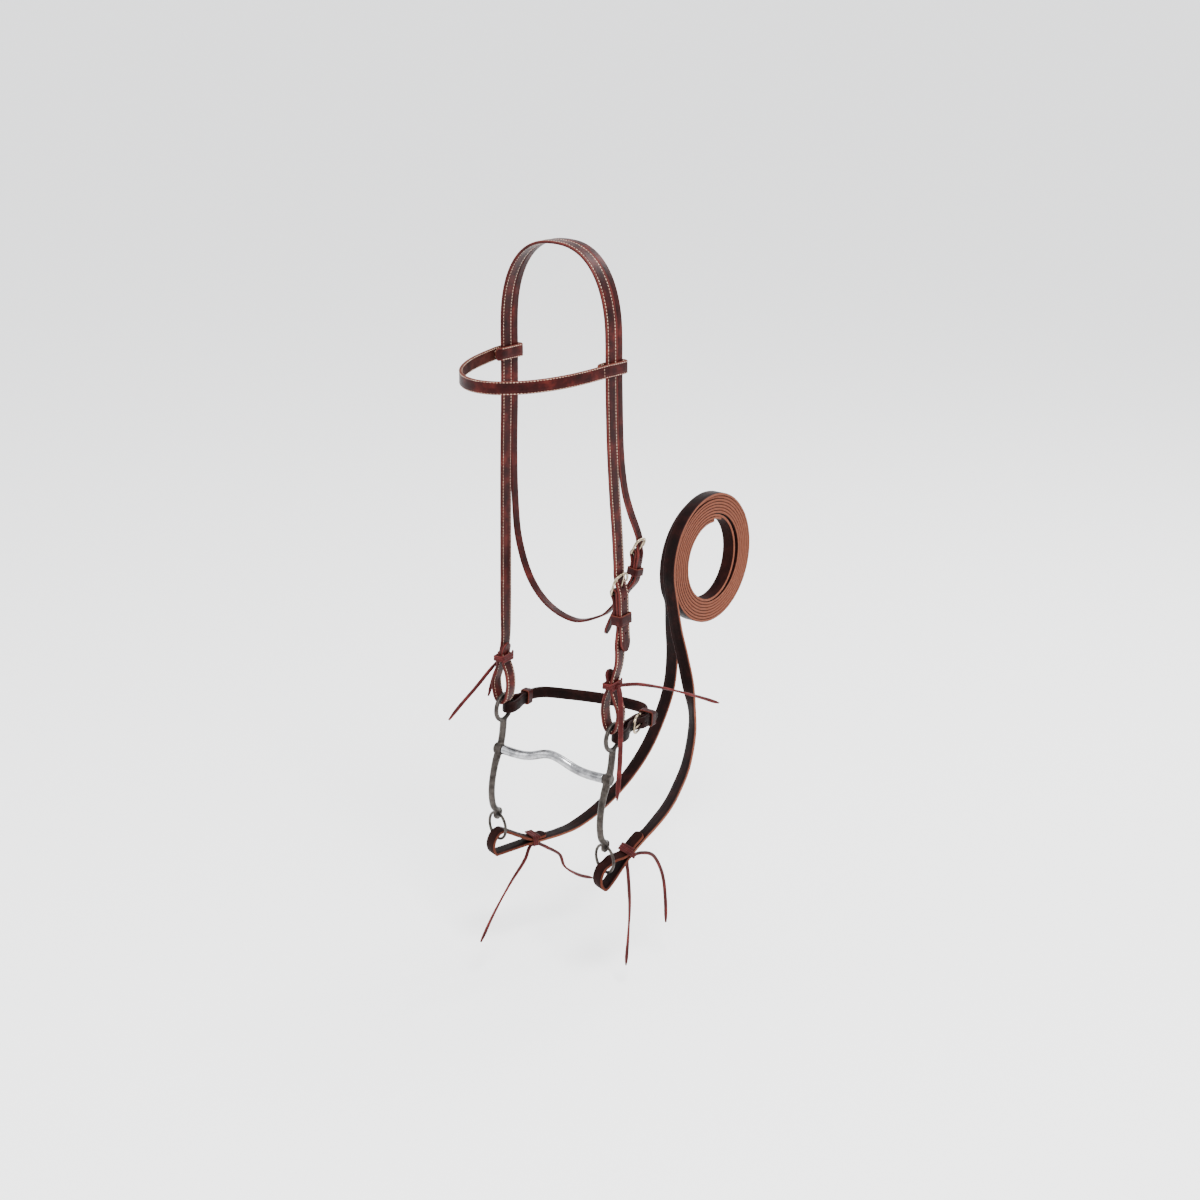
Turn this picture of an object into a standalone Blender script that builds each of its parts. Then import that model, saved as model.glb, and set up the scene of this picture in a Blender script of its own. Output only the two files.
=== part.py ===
"""Western browband bridle with a low-port curb bit and split reins rolled into a coil.

The frame: +Z is up, -Y is where the horse's nose points and +X is the horse's near (left) side.
The origin is on the underside of the crown, where a hook or the horse's poll carries the bridle.
"""

import math

import bmesh
import bpy
from mathutils import Euler, Matrix, Vector

# Leather straps
STRAP_WIDTH = 0.0159
STRAP_THICK = 0.0030
THROAT_WIDTH = 0.0095
THROAT_THICK = 0.0026
CURB_WIDTH = 0.0127
REIN_THICK = 0.0032
RUN_GAP = 0.0008
CHAPE_THICK = 0.0020
LACE_RADIUS = 0.0020
WIDE_LACE_RADIUS = 0.0024
GAP = 0.0003

# Headstall: two parallel straps over the poll
CHEEK_X = 0.069
ARCH_DROP = 0.098
ARCH_POWER = 2.4
CREST_HALF = 0.008
THROAT_Y = (STRAP_WIDTH + THROAT_WIDTH) / 2 + 0.00035

# Browband
BROW_WIDTH = 0.0135
BROW_Z = -0.119
BROW_DROP = 0.006
BROW_DEPTH = 0.110
BROW_JOIN_Y = -0.012
BROW_OUT_X = 0.0738
BROW_IN_X = 0.0642
BROW_ARC_X = 0.0712

# Bit, which hangs a little turned and a little low on the near side
BIT_CENTRE = Vector((0.0, -0.004, -0.5127))
BIT_YAW = math.radians(6.7)
BIT_ROLL = math.radians(2.4)
BIT_HALF = 0.070
RING_RADIUS = 0.0145
RING_WIRE = 0.0025
MOUTH_Y = -0.007
MOUTH_Z = -0.047
MOUTH_RADIUS = 0.0052
PORT_HALF = 0.026
PORT_RISE = 0.014
SHANK_RADIUS = 0.0042
KNUCKLE_HALF = 0.0046
SHANK_END_Y = -0.007
SHANK_END_Z = -0.125
BOSS_RADIUS = 0.0068
BOSS_THICK = 0.0034
BOSS_HOLE = 0.0032
REIN_RING_RADIUS = 0.0152
REIN_RING_WIRE = 0.0016
REIN_RING_TURN = math.radians(-20)

# Lace ties
TIE_WALL = 0.0022
TIE_LENGTH = 0.0070
TIE_HEIGHT = 0.0590
CHEEK_TIE_HOLE = (STRAP_WIDTH + 0.0044, 0.0094)
REIN_TIE_HOLE = (STRAP_WIDTH + 0.0020, 0.0092)

# Reins
COIL_CENTRE = Vector((0.0, 0.2668, -0.394))
COIL_OUTER = 0.080
COIL_INNER = 0.046

# Buckles: the bar is at the local origin, u runs from the bar to the end bar, w points outwards
BAR_RADIUS = 0.0012
TONGUE_RADIUS = 0.0009
TONGUE_TRAVEL = math.radians(10)
TONGUE_OVERHANG = 0.0012
TONGUE_LIFT = 0.0011
TONGUE_ROOM = 0.0005
SLOT_REACH = 0.0075
FOLD_ROOM = 0.0007

# Keepers and ties: the rounding of a band's outline
OUTER_CORNER = 0.0022
INNER_CORNER = 0.0006

FINENESS = 24
BEND_LENGTH = 0.006
NEAR, FAR = 1, -1
REARWARD = Vector((0, 1, 0))
ACROSS = Vector((1, 0, 0))

for thing in list(bpy.data.objects):
    bpy.data.objects.remove(thing, do_unlink=True)

PARTS = bpy.data.collections.new("browband_bridle")
CUTTERS = bpy.data.collections.new("cutters")
bpy.context.scene.collection.children.link(PARTS)
bpy.context.scene.collection.children.link(CUTTERS)


# ---------------------------------------------------------------- materials


def material(name, colour, roughness, metallic=0.0):
    """A Principled BSDF material."""
    made = bpy.data.materials.new(name)
    made.use_nodes = True
    shader = made.node_tree.nodes["Principled BSDF"]
    shader.inputs["Base Color"].default_value = (*colour, 1.0)
    shader.inputs["Roughness"].default_value = roughness
    shader.inputs["Metallic"].default_value = metallic
    return made


LATIGO = material("latigo_leather", (0.13, 0.028, 0.020), 0.45)
REIN_LEATHER = material("rein_leather", (0.16, 0.035, 0.022), 0.5)
LACE_LEATHER = material("lace_leather", (0.22, 0.03, 0.025), 0.6)
NICKEL = material("nickel_plate", (0.62, 0.56, 0.46), 0.25, 1.0)
STAINLESS = material("stainless_steel", (0.70, 0.70, 0.70), 0.2, 1.0)
DARK_STEEL = material("dark_steel", (0.09, 0.075, 0.065), 0.45, 1.0)


# ---------------------------------------------------------------- curves


def spline_point(points, place):
    """The point at `place`, 0 to len - 1, on the Catmull-Rom curve through `points`."""
    last = len(points) - 1
    index = min(int(place), last - 1)
    along = place - index
    start, end = points[index], points[index + 1]
    before = points[index - 1] if index > 0 else 2 * start - end
    after = points[index + 2] if index + 2 <= last else 2 * end - start
    return 0.5 * (
        2 * start
        + (end - before) * along
        + (2 * before - 5 * start + 4 * end - after) * along**2
        + (3 * (start - end) + after - before) * along**3
    )


def even_places(points, count):
    """The places that cut the curve's length, plus BEND_LENGTH a radian of bend, into equal parts."""
    fine = [n / FINENESS for n in range(FINENESS * (len(points) - 1) + 1)]
    spots = [spline_point(points, place) for place in fine]
    steps = [high - low for low, high in zip(spots, spots[1:])]
    reach = [0.0]
    for before, step in zip(steps[:1] + steps, steps):
        reach.append(reach[-1] + step.length + BEND_LENGTH * step.angle(before))
    places = []
    n = 0
    for k in range(count + 1):
        want = reach[-1] * k / count
        while n < len(reach) - 2 and reach[n + 1] < want:
            n += 1
        part = (want - reach[n]) / (reach[n + 1] - reach[n])
        places.append(fine[n] + min(part, 1.0) / FINENESS)
    return places


def strap_rows(points, sides, count):
    """The centres and width directions of a strap that follows the curve through `points`."""
    points = [Vector(p) for p in points]
    sides = [Vector(s) for s in sides]
    if len(sides) == 1:
        sides = sides * len(points)
    step = 0.02
    rows = []
    for place in even_places(points, count):
        low = max(place - step, 0.0)
        high = min(place + step, len(points) - 1.0)
        ahead = (spline_point(points, high) - spline_point(points, low)).normalized()
        side = spline_point(sides, place)
        side = (side - side.dot(ahead) * ahead).normalized()
        rows.append((spline_point(points, place), side))
    return rows


# ---------------------------------------------------------------- solids


def keep(thing, surface, name=None):
    """Puts a finished piece in the parts collection with its material."""
    if name:
        thing.name = name
    for owner in list(thing.users_collection):
        owner.objects.unlink(thing)
    PARTS.objects.link(thing)
    thing.data.materials.clear()
    thing.data.materials.append(surface)
    return thing


def rebase(thing, origin):
    """Moves a mesh piece's origin to `origin` and leaves its surface where it is."""
    shift = Matrix.Translation(thing.matrix_world.inverted() @ Vector(origin))
    thing.data.transform(shift.inverted())
    thing.matrix_world = thing.matrix_world @ shift
    return thing


def strap(name, points, sides, width, thickness, surface, count):
    """A flat strap: a grid bent along its route, then thickened evenly about its middle."""
    rows = strap_rows(points, sides, count)
    mesh = bpy.data.meshes.new(name)
    grid = bmesh.new()
    bmesh.ops.create_grid(grid, x_segments=count, y_segments=1, size=1.0)
    for vert in grid.verts:
        centre, side = rows[round((vert.co.x + 1) / 2 * count)]
        vert.co = centre + side * (vert.co.y * width / 2)
    grid.to_mesh(mesh)
    grid.free()
    thing = bpy.data.objects.new(name, mesh)
    thicken = thing.modifiers.new("thickness", "SOLIDIFY")
    thicken.thickness = thickness
    thicken.offset = 0.0
    thicken.use_even_offset = True
    return keep(thing, surface)


def tube(name, points, radius, surface, count=0, closed=False, resolution=2):
    """A round tube along the curve through `points`, or straight between them if count is 0."""
    points = [Vector(p) for p in points]
    if count:
        points = [spline_point(points, place) for place in even_places(points, count)]
    curve = bpy.data.curves.new(name, "CURVE")
    curve.dimensions = "3D"
    curve.bevel_depth = radius
    curve.bevel_resolution = resolution
    curve.use_fill_caps = not closed
    spline = curve.splines.new("POLY")
    spline.points.add(len(points) - 1)
    for spot, point in zip(spline.points, points):
        spot.co = (*point, 1.0)
    spline.use_cyclic_u = closed
    return keep(bpy.data.objects.new(name, curve), surface)


def meshed(thing):
    """A curve object turned into a mesh object with its caps welded on."""
    bpy.context.view_layer.update()
    evaluated = thing.evaluated_get(bpy.context.evaluated_depsgraph_get())
    mesh = bpy.data.meshes.new_from_object(evaluated)
    work = bmesh.new()
    work.from_mesh(mesh)
    bmesh.ops.remove_doubles(work, verts=work.verts, dist=0.00001)
    work.to_mesh(mesh)
    work.free()
    made = bpy.data.objects.new(thing.name, mesh)
    name, surface = thing.name, thing.data.materials[0]
    made.matrix_world = thing.matrix_world
    bpy.data.objects.remove(thing, do_unlink=True)
    return keep(made, surface, name)


def cylinder_between(name, start, end, radius, sides=16):
    """A capped cylinder from one point to another, used to cut or to join."""
    start, end = Vector(start), Vector(end)
    mesh = bpy.data.meshes.new(name)
    work = bmesh.new()
    turn = (end - start).to_track_quat("Z", "Y").to_matrix().to_4x4()
    bmesh.ops.create_cone(
        work,
        cap_ends=True,
        segments=sides,
        radius1=radius,
        radius2=radius,
        depth=(end - start).length,
        matrix=Matrix.Translation((start + end) / 2) @ turn,
    )
    work.to_mesh(mesh)
    work.free()
    return bpy.data.objects.new(name, mesh)


def ring_mesh(name, matrix, radius, wire, around=28, section=8):
    """A torus placed by `matrix`, its axis along the matrix's Z."""
    bpy.ops.mesh.primitive_torus_add(
        major_radius=radius,
        minor_radius=wire,
        major_segments=around,
        minor_segments=section,
    )
    thing = bpy.context.object
    thing.name = name
    thing.data.transform(matrix)
    thing.data.shade_smooth()
    return thing


def cutter(thing):
    """Marks a helper that a Boolean uses and the build leaves out."""
    for owner in list(thing.users_collection):
        owner.objects.unlink(thing)
    CUTTERS.objects.link(thing)
    thing.hide_render = True
    thing.display_type = "WIRE"
    return thing


def combine(thing, other, operation):
    """Adds an exact Boolean modifier to a mesh piece."""
    change = thing.modifiers.new(other.name, "BOOLEAN")
    change.operation = operation
    change.solver = "EXACT"
    change.object = cutter(other)
    return thing


def keeper(name, centre, across, outward, hole, wall, length, surface):
    """A leather loop: a rounded frame outline with its hole, as deep as the loop is wide."""
    across, outward = Vector(across).normalized(), Vector(outward).normalized()
    along = across.cross(outward).normalized()
    outline = bpy.data.curves.new(name, "CURVE")
    outline.dimensions = "2D"
    outline.fill_mode = "BOTH"
    outline.extrude = length / 2
    for grow, corner in ((wall, OUTER_CORNER), (0.0, INNER_CORNER)):
        half_across, half_out = hole[0] / 2 + grow, hole[1] / 2 + grow
        spline = outline.splines.new("POLY")
        spots = []
        for quarter in range(4):
            middle = (
                (1, 1, -1, -1)[(quarter + 1) % 4] * (half_across - corner),
                (1, 1, -1, -1)[quarter] * (half_out - corner),
            )
            for step in range(3):
                turn = math.radians(90 * quarter + 45 * step)
                spots.append((
                    middle[0] + corner * math.cos(turn),
                    middle[1] + corner * math.sin(turn),
                ))
        spline.points.add(len(spots) - 1)
        for spot, (x, y) in zip(spline.points, spots):
            spot.co = (x, y, 0.0, 1.0)
        spline.use_cyclic_u = True
    thing = keep(bpy.data.objects.new(name, outline), surface)
    basis = Matrix((across, outward, along)).transposed().to_4x4()
    thing.matrix_world = Matrix.Translation(Vector(centre)) @ basis
    return thing


# ---------------------------------------------------------------- bit frame

BIT_FRAME = Matrix.Translation(BIT_CENTRE) @ Euler((0.0, BIT_ROLL, BIT_YAW)).to_matrix().to_4x4()
BIT_REAR = (BIT_FRAME.to_3x3() @ Vector((0, 1, 0))).normalized()
BIT_OUT = (BIT_FRAME.to_3x3() @ Vector((1, 0, 0))).normalized()
BIT_UP = (BIT_FRAME.to_3x3() @ Vector((0, 0, 1))).normalized()


def on_bit(x, y, z):
    """A point given in the bit's own frame: x along the swing axis, y to the rear, z up."""
    return BIT_FRAME @ Vector((x, y, z))


PLUMB = Matrix.Rotation(BIT_YAW, 3, "Z")


def over_ring(side, x, y, z):
    """A point given from the centre of one of the bit's upper rings, in upright axes."""
    return on_bit(BIT_HALF * side, 0, 0) + PLUMB @ Vector((x * side, y * side, z))


# ---------------------------------------------------------------- buckles


class Buckle:
    """A horseshoe buckle's own frame: u from bar to end bar, v across the strap, w outwards."""

    def __init__(self, name, bar, along, outward, width, length, rise):
        self.name = name
        self.u = Vector(along).normalized()
        self.w = (Vector(outward) - Vector(outward).dot(self.u) * self.u).normalized()
        self.v = self.w.cross(self.u)
        self.bar = Vector(bar)
        self.half = width / 2
        self.length = length
        self.rise = rise

    def at(self, u, v, w):
        return self.bar + self.u * u + self.v * v + self.w * w

    def frame(self):
        """The wire frame: a straight bar, two sides and a rounded end that rises outwards."""
        corner = 0.0016
        spots = [
            self.at(corner, -self.half, 0),
            self.at(0, corner - self.half, 0),
            self.at(0, 0, 0),
            self.at(0, self.half - corner, 0),
            self.at(corner, self.half, 0),
        ]
        steps = 10
        for step in range(1, steps):
            turn = math.pi * step / steps
            reach = self.length * (0.45 + 0.55 * math.sin(turn))
            side = self.half * 1.06 * math.copysign(abs(math.cos(turn)) ** 0.6, math.cos(turn))
            spots.append(self.at(reach, side, self.rise * reach / self.length))
        return tube(self.name + "_frame", spots, BAR_RADIUS, NICKEL, closed=True)

    def tongue_line(self):
        """Where the tongue leaves its eye, and where it rests on the end bar."""
        tip = self.at(self.length + TONGUE_OVERHANG, 0, self.rise + BAR_RADIUS + TONGUE_RADIUS + TONGUE_LIFT)
        eye = BAR_RADIUS + TONGUE_RADIUS + GAP
        lean = math.atan2(self.rise + eye, self.length)
        start = self.at(-eye * math.sin(lean), 0, eye * math.cos(lean))
        return start, tip, eye, lean

    def tongue(self):
        """A wire tongue whose eye goes round the bar."""
        start, tip, eye, lean = self.tongue_line()
        spots = [tip, start.lerp(tip, 0.5), start]
        for step in range(1, 9):
            turn = math.pi / 2 + lean + math.radians(34 * step)
            spots.append(self.at(eye * math.cos(turn), 0, eye * math.sin(turn)))
        made = meshed(tube(self.name + "_tongue", spots, TONGUE_RADIUS, NICKEL))
        return rebase(made, self.bar)

    def pierce(self, piece):
        """The hole in the strap that the tongue goes through, long enough for the tongue's travel."""
        start, tip, _, _ = self.tongue_line()
        room = TONGUE_RADIUS + TONGUE_ROOM + 0.00002
        ends = []
        for turn in (0.0, TONGUE_TRAVEL * 0.52, TONGUE_TRAVEL):
            swing = Matrix.Rotation(-turn, 3, self.v)
            ends.append((self.bar + swing @ (start - self.bar), self.bar + swing @ (tip - self.bar)))
        for count, (low, high) in enumerate(ends):
            name = f"{self.name}_hole_{count}"
            combine(piece, cylinder_between(name, low, high, room, 12), "DIFFERENCE")

    def slot(self, piece):
        """The slot in the fold round the bar, where the tongue's eye sits and swings."""
        reach = BAR_RADIUS + SLOT_REACH
        room = TONGUE_RADIUS + TONGUE_ROOM
        slot = cylinder_between(
            self.name + "_slot", self.at(0, -room, 0), self.at(0, room, 0), reach, 20
        )
        combine(piece, slot, "DIFFERENCE")


def fold_points(buckle, thickness, inner_tail, outer_tail):
    """The fold of a strap round the buckle's bar, from the inner ply's end to the outer ply."""
    spread = BAR_RADIUS + FOLD_ROOM + thickness / 2
    inner = spread - thickness - 2 * GAP
    spots = [buckle.at(-inner_tail, 0, inner)]
    spots.append(buckle.at(-0.0130, 0, inner))
    spots.append(buckle.at(-0.0080, 0, inner - 0.0004))
    spots.append(buckle.at(-0.0046, 0, (inner - spread) * 0.5))
    spots.append(buckle.at(-0.0024, 0, inner * 0.25 - spread * 0.78))
    for step in range(7):
        turn = math.radians(-90 + 30 * step)
        spots.append(buckle.at(spread * math.cos(turn), 0, spread * math.sin(turn)))
    spots.append(buckle.at(-0.0030, 0, spread))
    spots.append(buckle.at(-0.0080, 0, spread))
    spots.append(buckle.at(-outer_tail, 0, spread))
    return spots


# ---------------------------------------------------------------- headstall


def arch(y, lift):
    """The route over the poll in the X-Z plane, from the near side to the far side."""
    spots = []
    steps = 18
    for step in range(steps + 1):
        turn = math.pi * step / steps
        x = CHEEK_X * math.copysign(abs(math.cos(turn)) ** (2 / ARCH_POWER), math.cos(turn))
        z = ARCH_DROP * (math.sin(turn) ** (2 / ARCH_POWER) - 1) + lift
        spots.append((x, y, z))
    return spots


CHEEK_BUCKLE = Buckle(
    "cheek_buckle", (0.0668, 0.0148, -0.3570), (0, -0.06, 1), (1, 0, 0), 0.0220, 0.0205, 0.0070
)
THROAT_BUCKLE = Buckle(
    "throatlatch_buckle", (0.0700, 0.0405, -0.3200), (0.12, 0.10, 1), (1, 0, 0), 0.0150, 0.0165, 0.0056
)
FOLD_SPREAD = BAR_RADIUS + FOLD_ROOM + STRAP_THICK / 2
TAIL_OVER_FOLD = FOLD_SPREAD + STRAP_THICK + 2 * GAP

crown_points = [
    CHEEK_BUCKLE.at(-0.0650, 0, TAIL_OVER_FOLD + 0.0006),
    CHEEK_BUCKLE.at(-0.0430, 0, TAIL_OVER_FOLD),
    CHEEK_BUCKLE.at(-0.0200, 0, TAIL_OVER_FOLD),
    CHEEK_BUCKLE.at(-0.0010, 0, TAIL_OVER_FOLD),
    CHEEK_BUCKLE.at(0.0100, 0, 0.0042),
    CHEEK_BUCKLE.at(0.0200, 0, 0.0024),
    CHEEK_BUCKLE.at(0.0320, 0, 0.0026),
    (0.0695, 0.0100, -0.290),
    (0.0692, 0.0062, -0.250),
    (0.0690, 0.0025, -0.200),
    (0.0690, 0.0005, -0.150),
    (0.0690, 0.0000, -0.115),
    *arch(0.0, STRAP_THICK / 2),
    (-0.0690, 0.0000, -0.115),
    (-0.0690, -0.0010, -0.170),
    (-0.0690, -0.0031, -0.223),
    (-0.0690, -0.0050, -0.300),
    (-0.0690, -0.0068, -0.390),
    (-0.0692, -0.0080, -0.432),
]


def ring_loop(side):
    """A cheek strap's way round the bit's upper ring: down outside, through, and up inside."""
    return [
        over_ring(side, 0.0004, 0.001, 0.0580),
        over_ring(side, 0.0050, 0, 0.0430),
        over_ring(side, 0.0092, 0, 0.0300),
        over_ring(side, 0.0078, 0, 0.0160),
        over_ring(side, 0.0042, 0, 0.0086),
        over_ring(side, 0, 0, 0.0066),
        over_ring(side, -0.0042, 0, 0.0086),
        over_ring(side, -0.0078, 0, 0.0160),
        over_ring(side, -0.0096, 0, 0.0300),
        over_ring(side, -0.0078, 0, 0.0430),
        over_ring(side, -0.0034, 0.001, 0.0565),
        over_ring(side, -0.0036, 0.001, 0.0640),
        over_ring(side, -0.0060, 0.001, 0.0750),
    ]


def crown():
    """The front strap: its tip is in the near buckle, and its far end loops round the bit's ring."""
    route = crown_points + ring_loop(FAR)
    sides = [REARWARD] * (len(crown_points) - 1) + [BIT_REAR] * (len(ring_loop(FAR)) + 1)
    made = strap("crown_strap", route, sides, STRAP_WIDTH, STRAP_THICK, LATIGO, 171)
    for vert in made.data.vertices:
        if abs(vert.co.x) < CREST_HALF and vert.co.z > 0:
            vert.co.z = STRAP_THICK / 2
    CHEEK_BUCKLE.pierce(made)


def near_cheek():
    """The near cheek strap: folded round the buckle's bar above and round the bit's ring below."""
    top = fold_points(CHEEK_BUCKLE, STRAP_THICK, 0.0370, 0.0370)
    route = top + [(0.0699, 0.0150, -0.412), (0.0700, 0.0135, -0.434)] + ring_loop(NEAR)
    sides = [REARWARD] * (len(top) + 1) + [BIT_REAR] * (len(ring_loop(NEAR)) + 1)
    made = strap("near_cheek_strap", route, sides, STRAP_WIDTH, STRAP_THICK, LATIGO, 80)
    CHEEK_BUCKLE.slot(made)


throat_points = [
    (-0.0690, THROAT_Y, -0.115),
    (-0.0690, 0.0120, -0.172),
    (-0.0690, 0.0100, -0.226),
    (-0.0680, 0.0098, -0.280),
    (-0.0635, 0.0102, -0.324),
    (-0.0520, 0.0152, -0.366),
    (-0.0300, 0.0205, -0.3935),
    (0.0000, 0.0277, -0.4057),
    (0.0300, 0.0325, -0.3960),
    (0.0440, 0.0350, -0.3840),
    (0.0580, 0.0368, -0.3650),
]
THROAT_SPREAD = BAR_RADIUS + FOLD_ROOM + THROAT_THICK / 2
THROAT_OVER = THROAT_SPREAD + THROAT_THICK + 2 * GAP
billet_points = [
    (0.0515, 0.0140, -0.4060),
    (0.0560, 0.0225, -0.3860),
    (0.0632, 0.0320, -0.3650),
    THROAT_BUCKLE.at(-0.0290, 0, THROAT_OVER + 0.0004),
    THROAT_BUCKLE.at(-0.0150, 0, THROAT_OVER),
    THROAT_BUCKLE.at(-0.0010, 0, THROAT_OVER),
    THROAT_BUCKLE.at(0.0080, 0, 0.0036),
    THROAT_BUCKLE.at(0.0165, 0, 0.0016),
    (0.0722, 0.0385, -0.2920),
    (0.0708, 0.0300, -0.2720),
    (0.0697, 0.0215, -0.2450),
    (0.0691, 0.0160, -0.2050),
    (0.0690, 0.0138, -0.1500),
    (0.0690, THROAT_Y, -0.1150),
]


def throatlatch():
    """The rear strap: its billet is in the throat buckle, and its long end goes under the throat."""
    over = arch(THROAT_Y, THROAT_THICK / 2 + 0.0002)
    rise = fold_points(THROAT_BUCKLE, THROAT_THICK, 0.0240, 0.0260)
    rise.reverse()
    route = billet_points + over + throat_points + rise
    made = strap(
        "throatlatch_strap", route, [REARWARD], THROAT_WIDTH, THROAT_THICK, LATIGO, 190
    )
    THROAT_BUCKLE.pierce(made)
    THROAT_BUCKLE.slot(made)


def browband():
    """The browband and the two end loops that go round the crown's straps."""
    def end_loop(side):
        rear = THROAT_Y + THROAT_WIDTH / 2
        return [
            (side * 0.0678, BROW_JOIN_Y - 0.0065, BROW_Z),
            (side * (BROW_IN_X + 0.0004), BROW_JOIN_Y + 0.0010, BROW_Z),
            (side * BROW_IN_X, 0.004, BROW_Z),
            (side * BROW_IN_X, rear - 0.0010, BROW_Z),
            (side * (BROW_IN_X + 0.0014), rear + 0.0024, BROW_Z),
            (side * CHEEK_X, rear + 0.0036, BROW_Z),
            (side * (BROW_OUT_X - 0.0014), rear + 0.0024, BROW_Z),
            (side * BROW_OUT_X, rear - 0.0010, BROW_Z),
            (side * BROW_OUT_X, 0.004, BROW_Z),
            (side * (BROW_OUT_X - 0.0009), BROW_JOIN_Y + 0.0010, BROW_Z),
        ]

    front = []
    steps = 14
    for step in range(1, steps):
        turn = math.pi * step / steps
        x = BROW_ARC_X * math.cos(turn)
        y = BROW_JOIN_Y - BROW_DEPTH * math.sin(turn)
        front.append((x, y, BROW_Z - BROW_DROP * math.sin(turn)))
    route = end_loop(NEAR) + front + end_loop(FAR)[::-1]
    made = strap(
        "browband", route, [(0, 0, 1)], BROW_WIDTH, STRAP_THICK, LATIGO, 110
    )
    rebase(made, (0, 0, BROW_Z))


# ---------------------------------------------------------------- bit


def shank(side):
    """A shank with its upper ring, the swept lower arm and the drilled end for the rein ring."""
    name = "bit_shank_near" if side == NEAR else "bit_shank_far"
    out = BIT_HALF * side
    upright = Matrix.Rotation(math.pi / 2, 4, "Y")
    ring = ring_mesh(
        name, BIT_FRAME @ Matrix.Translation((out, 0, 0)) @ upright, RING_RADIUS, RING_WIRE, 32, 10
    )
    route = [
        (0.0002, -RING_RADIUS + 0.0002),
        (-0.0005, -0.0230),
        (-0.0020, -0.0340),
        (MOUTH_Y + 0.0020, MOUTH_Z + 0.0030),
        (MOUTH_Y - 0.0030, MOUTH_Z - 0.0060),
        (-0.0150, -0.0640),
        (-0.0195, -0.0820),
        (-0.0200, -0.0980),
        (-0.0165, -0.1120),
        (SHANK_END_Y - 0.0010, SHANK_END_Z + 0.0030),
    ]
    arm = meshed(
        tube(name + "_arm", [on_bit(out, y, z) for y, z in route], SHANK_RADIUS, DARK_STEEL, 26)
    )
    boss = cylinder_between(
        name + "_boss",
        on_bit(out - BOSS_THICK / 2, SHANK_END_Y, SHANK_END_Z),
        on_bit(out + BOSS_THICK / 2, SHANK_END_Y, SHANK_END_Z),
        BOSS_RADIUS,
        24,
    )
    hole = cylinder_between(
        name + "_hole",
        on_bit(out - 2 * BOSS_THICK, SHANK_END_Y, SHANK_END_Z),
        on_bit(out + 2 * BOSS_THICK, SHANK_END_Y, SHANK_END_Z),
        BOSS_HOLE,
        16,
    )
    knuckle = cylinder_between(
        name + "_knuckle",
        on_bit(out - KNUCKLE_HALF, MOUTH_Y, MOUTH_Z),
        on_bit(out + KNUCKLE_HALF, MOUTH_Y, MOUTH_Z),
        MOUTH_RADIUS + 0.0008,
        20,
    )
    made = keep(ring, DARK_STEEL)
    for other in (arm, knuckle, boss):
        combine(made, other, "UNION")
    combine(made, hole, "DIFFERENCE")
    rebase(made, BIT_CENTRE)


def mouthpiece():
    """The bar of the mouthpiece with its low port in the middle."""
    end = BIT_HALF - KNUCKLE_HALF - 2 * GAP
    route = []
    for step in range(-8, 9):
        x = end * step / 8
        rise = PORT_RISE * math.exp(-((x / PORT_HALF) ** 2))
        bow = -0.0020 * (1 - (x / end) ** 2)
        route.append(on_bit(x, MOUTH_Y - 0.3 * rise, MOUTH_Z + bow + rise))
    made = meshed(tube("bit_mouthpiece", route, MOUTH_RADIUS, STAINLESS, 40, resolution=3))
    rebase(made, BIT_CENTRE)


REIN_RING_Z = SHANK_END_Z - REIN_RING_RADIUS + 0.0002


def rein_ring(side):
    """The loose ring through a shank's drilled end."""
    name = "rein_ring_near" if side == NEAR else "rein_ring_far"
    place = Matrix.Translation((BIT_HALF * side, SHANK_END_Y, REIN_RING_Z))
    flat = Matrix.Rotation(REIN_RING_TURN, 4, "Z") @ Matrix.Rotation(math.pi / 2, 4, "X")
    made = ring_mesh(name, BIT_FRAME @ place @ flat, REIN_RING_RADIUS, REIN_RING_WIRE, 32, 8)
    keep(made, DARK_STEEL)
    rebase(made, BIT_CENTRE)


# ---------------------------------------------------------------- curb strap

CURB_BUCKLE = Buckle(
    "curb_buckle",
    on_bit(0.0710, 0.0540, 0.0005),
    -BIT_REAR,
    BIT_OUT,
    0.0184,
    0.0180,
    0.0034,
)


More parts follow.
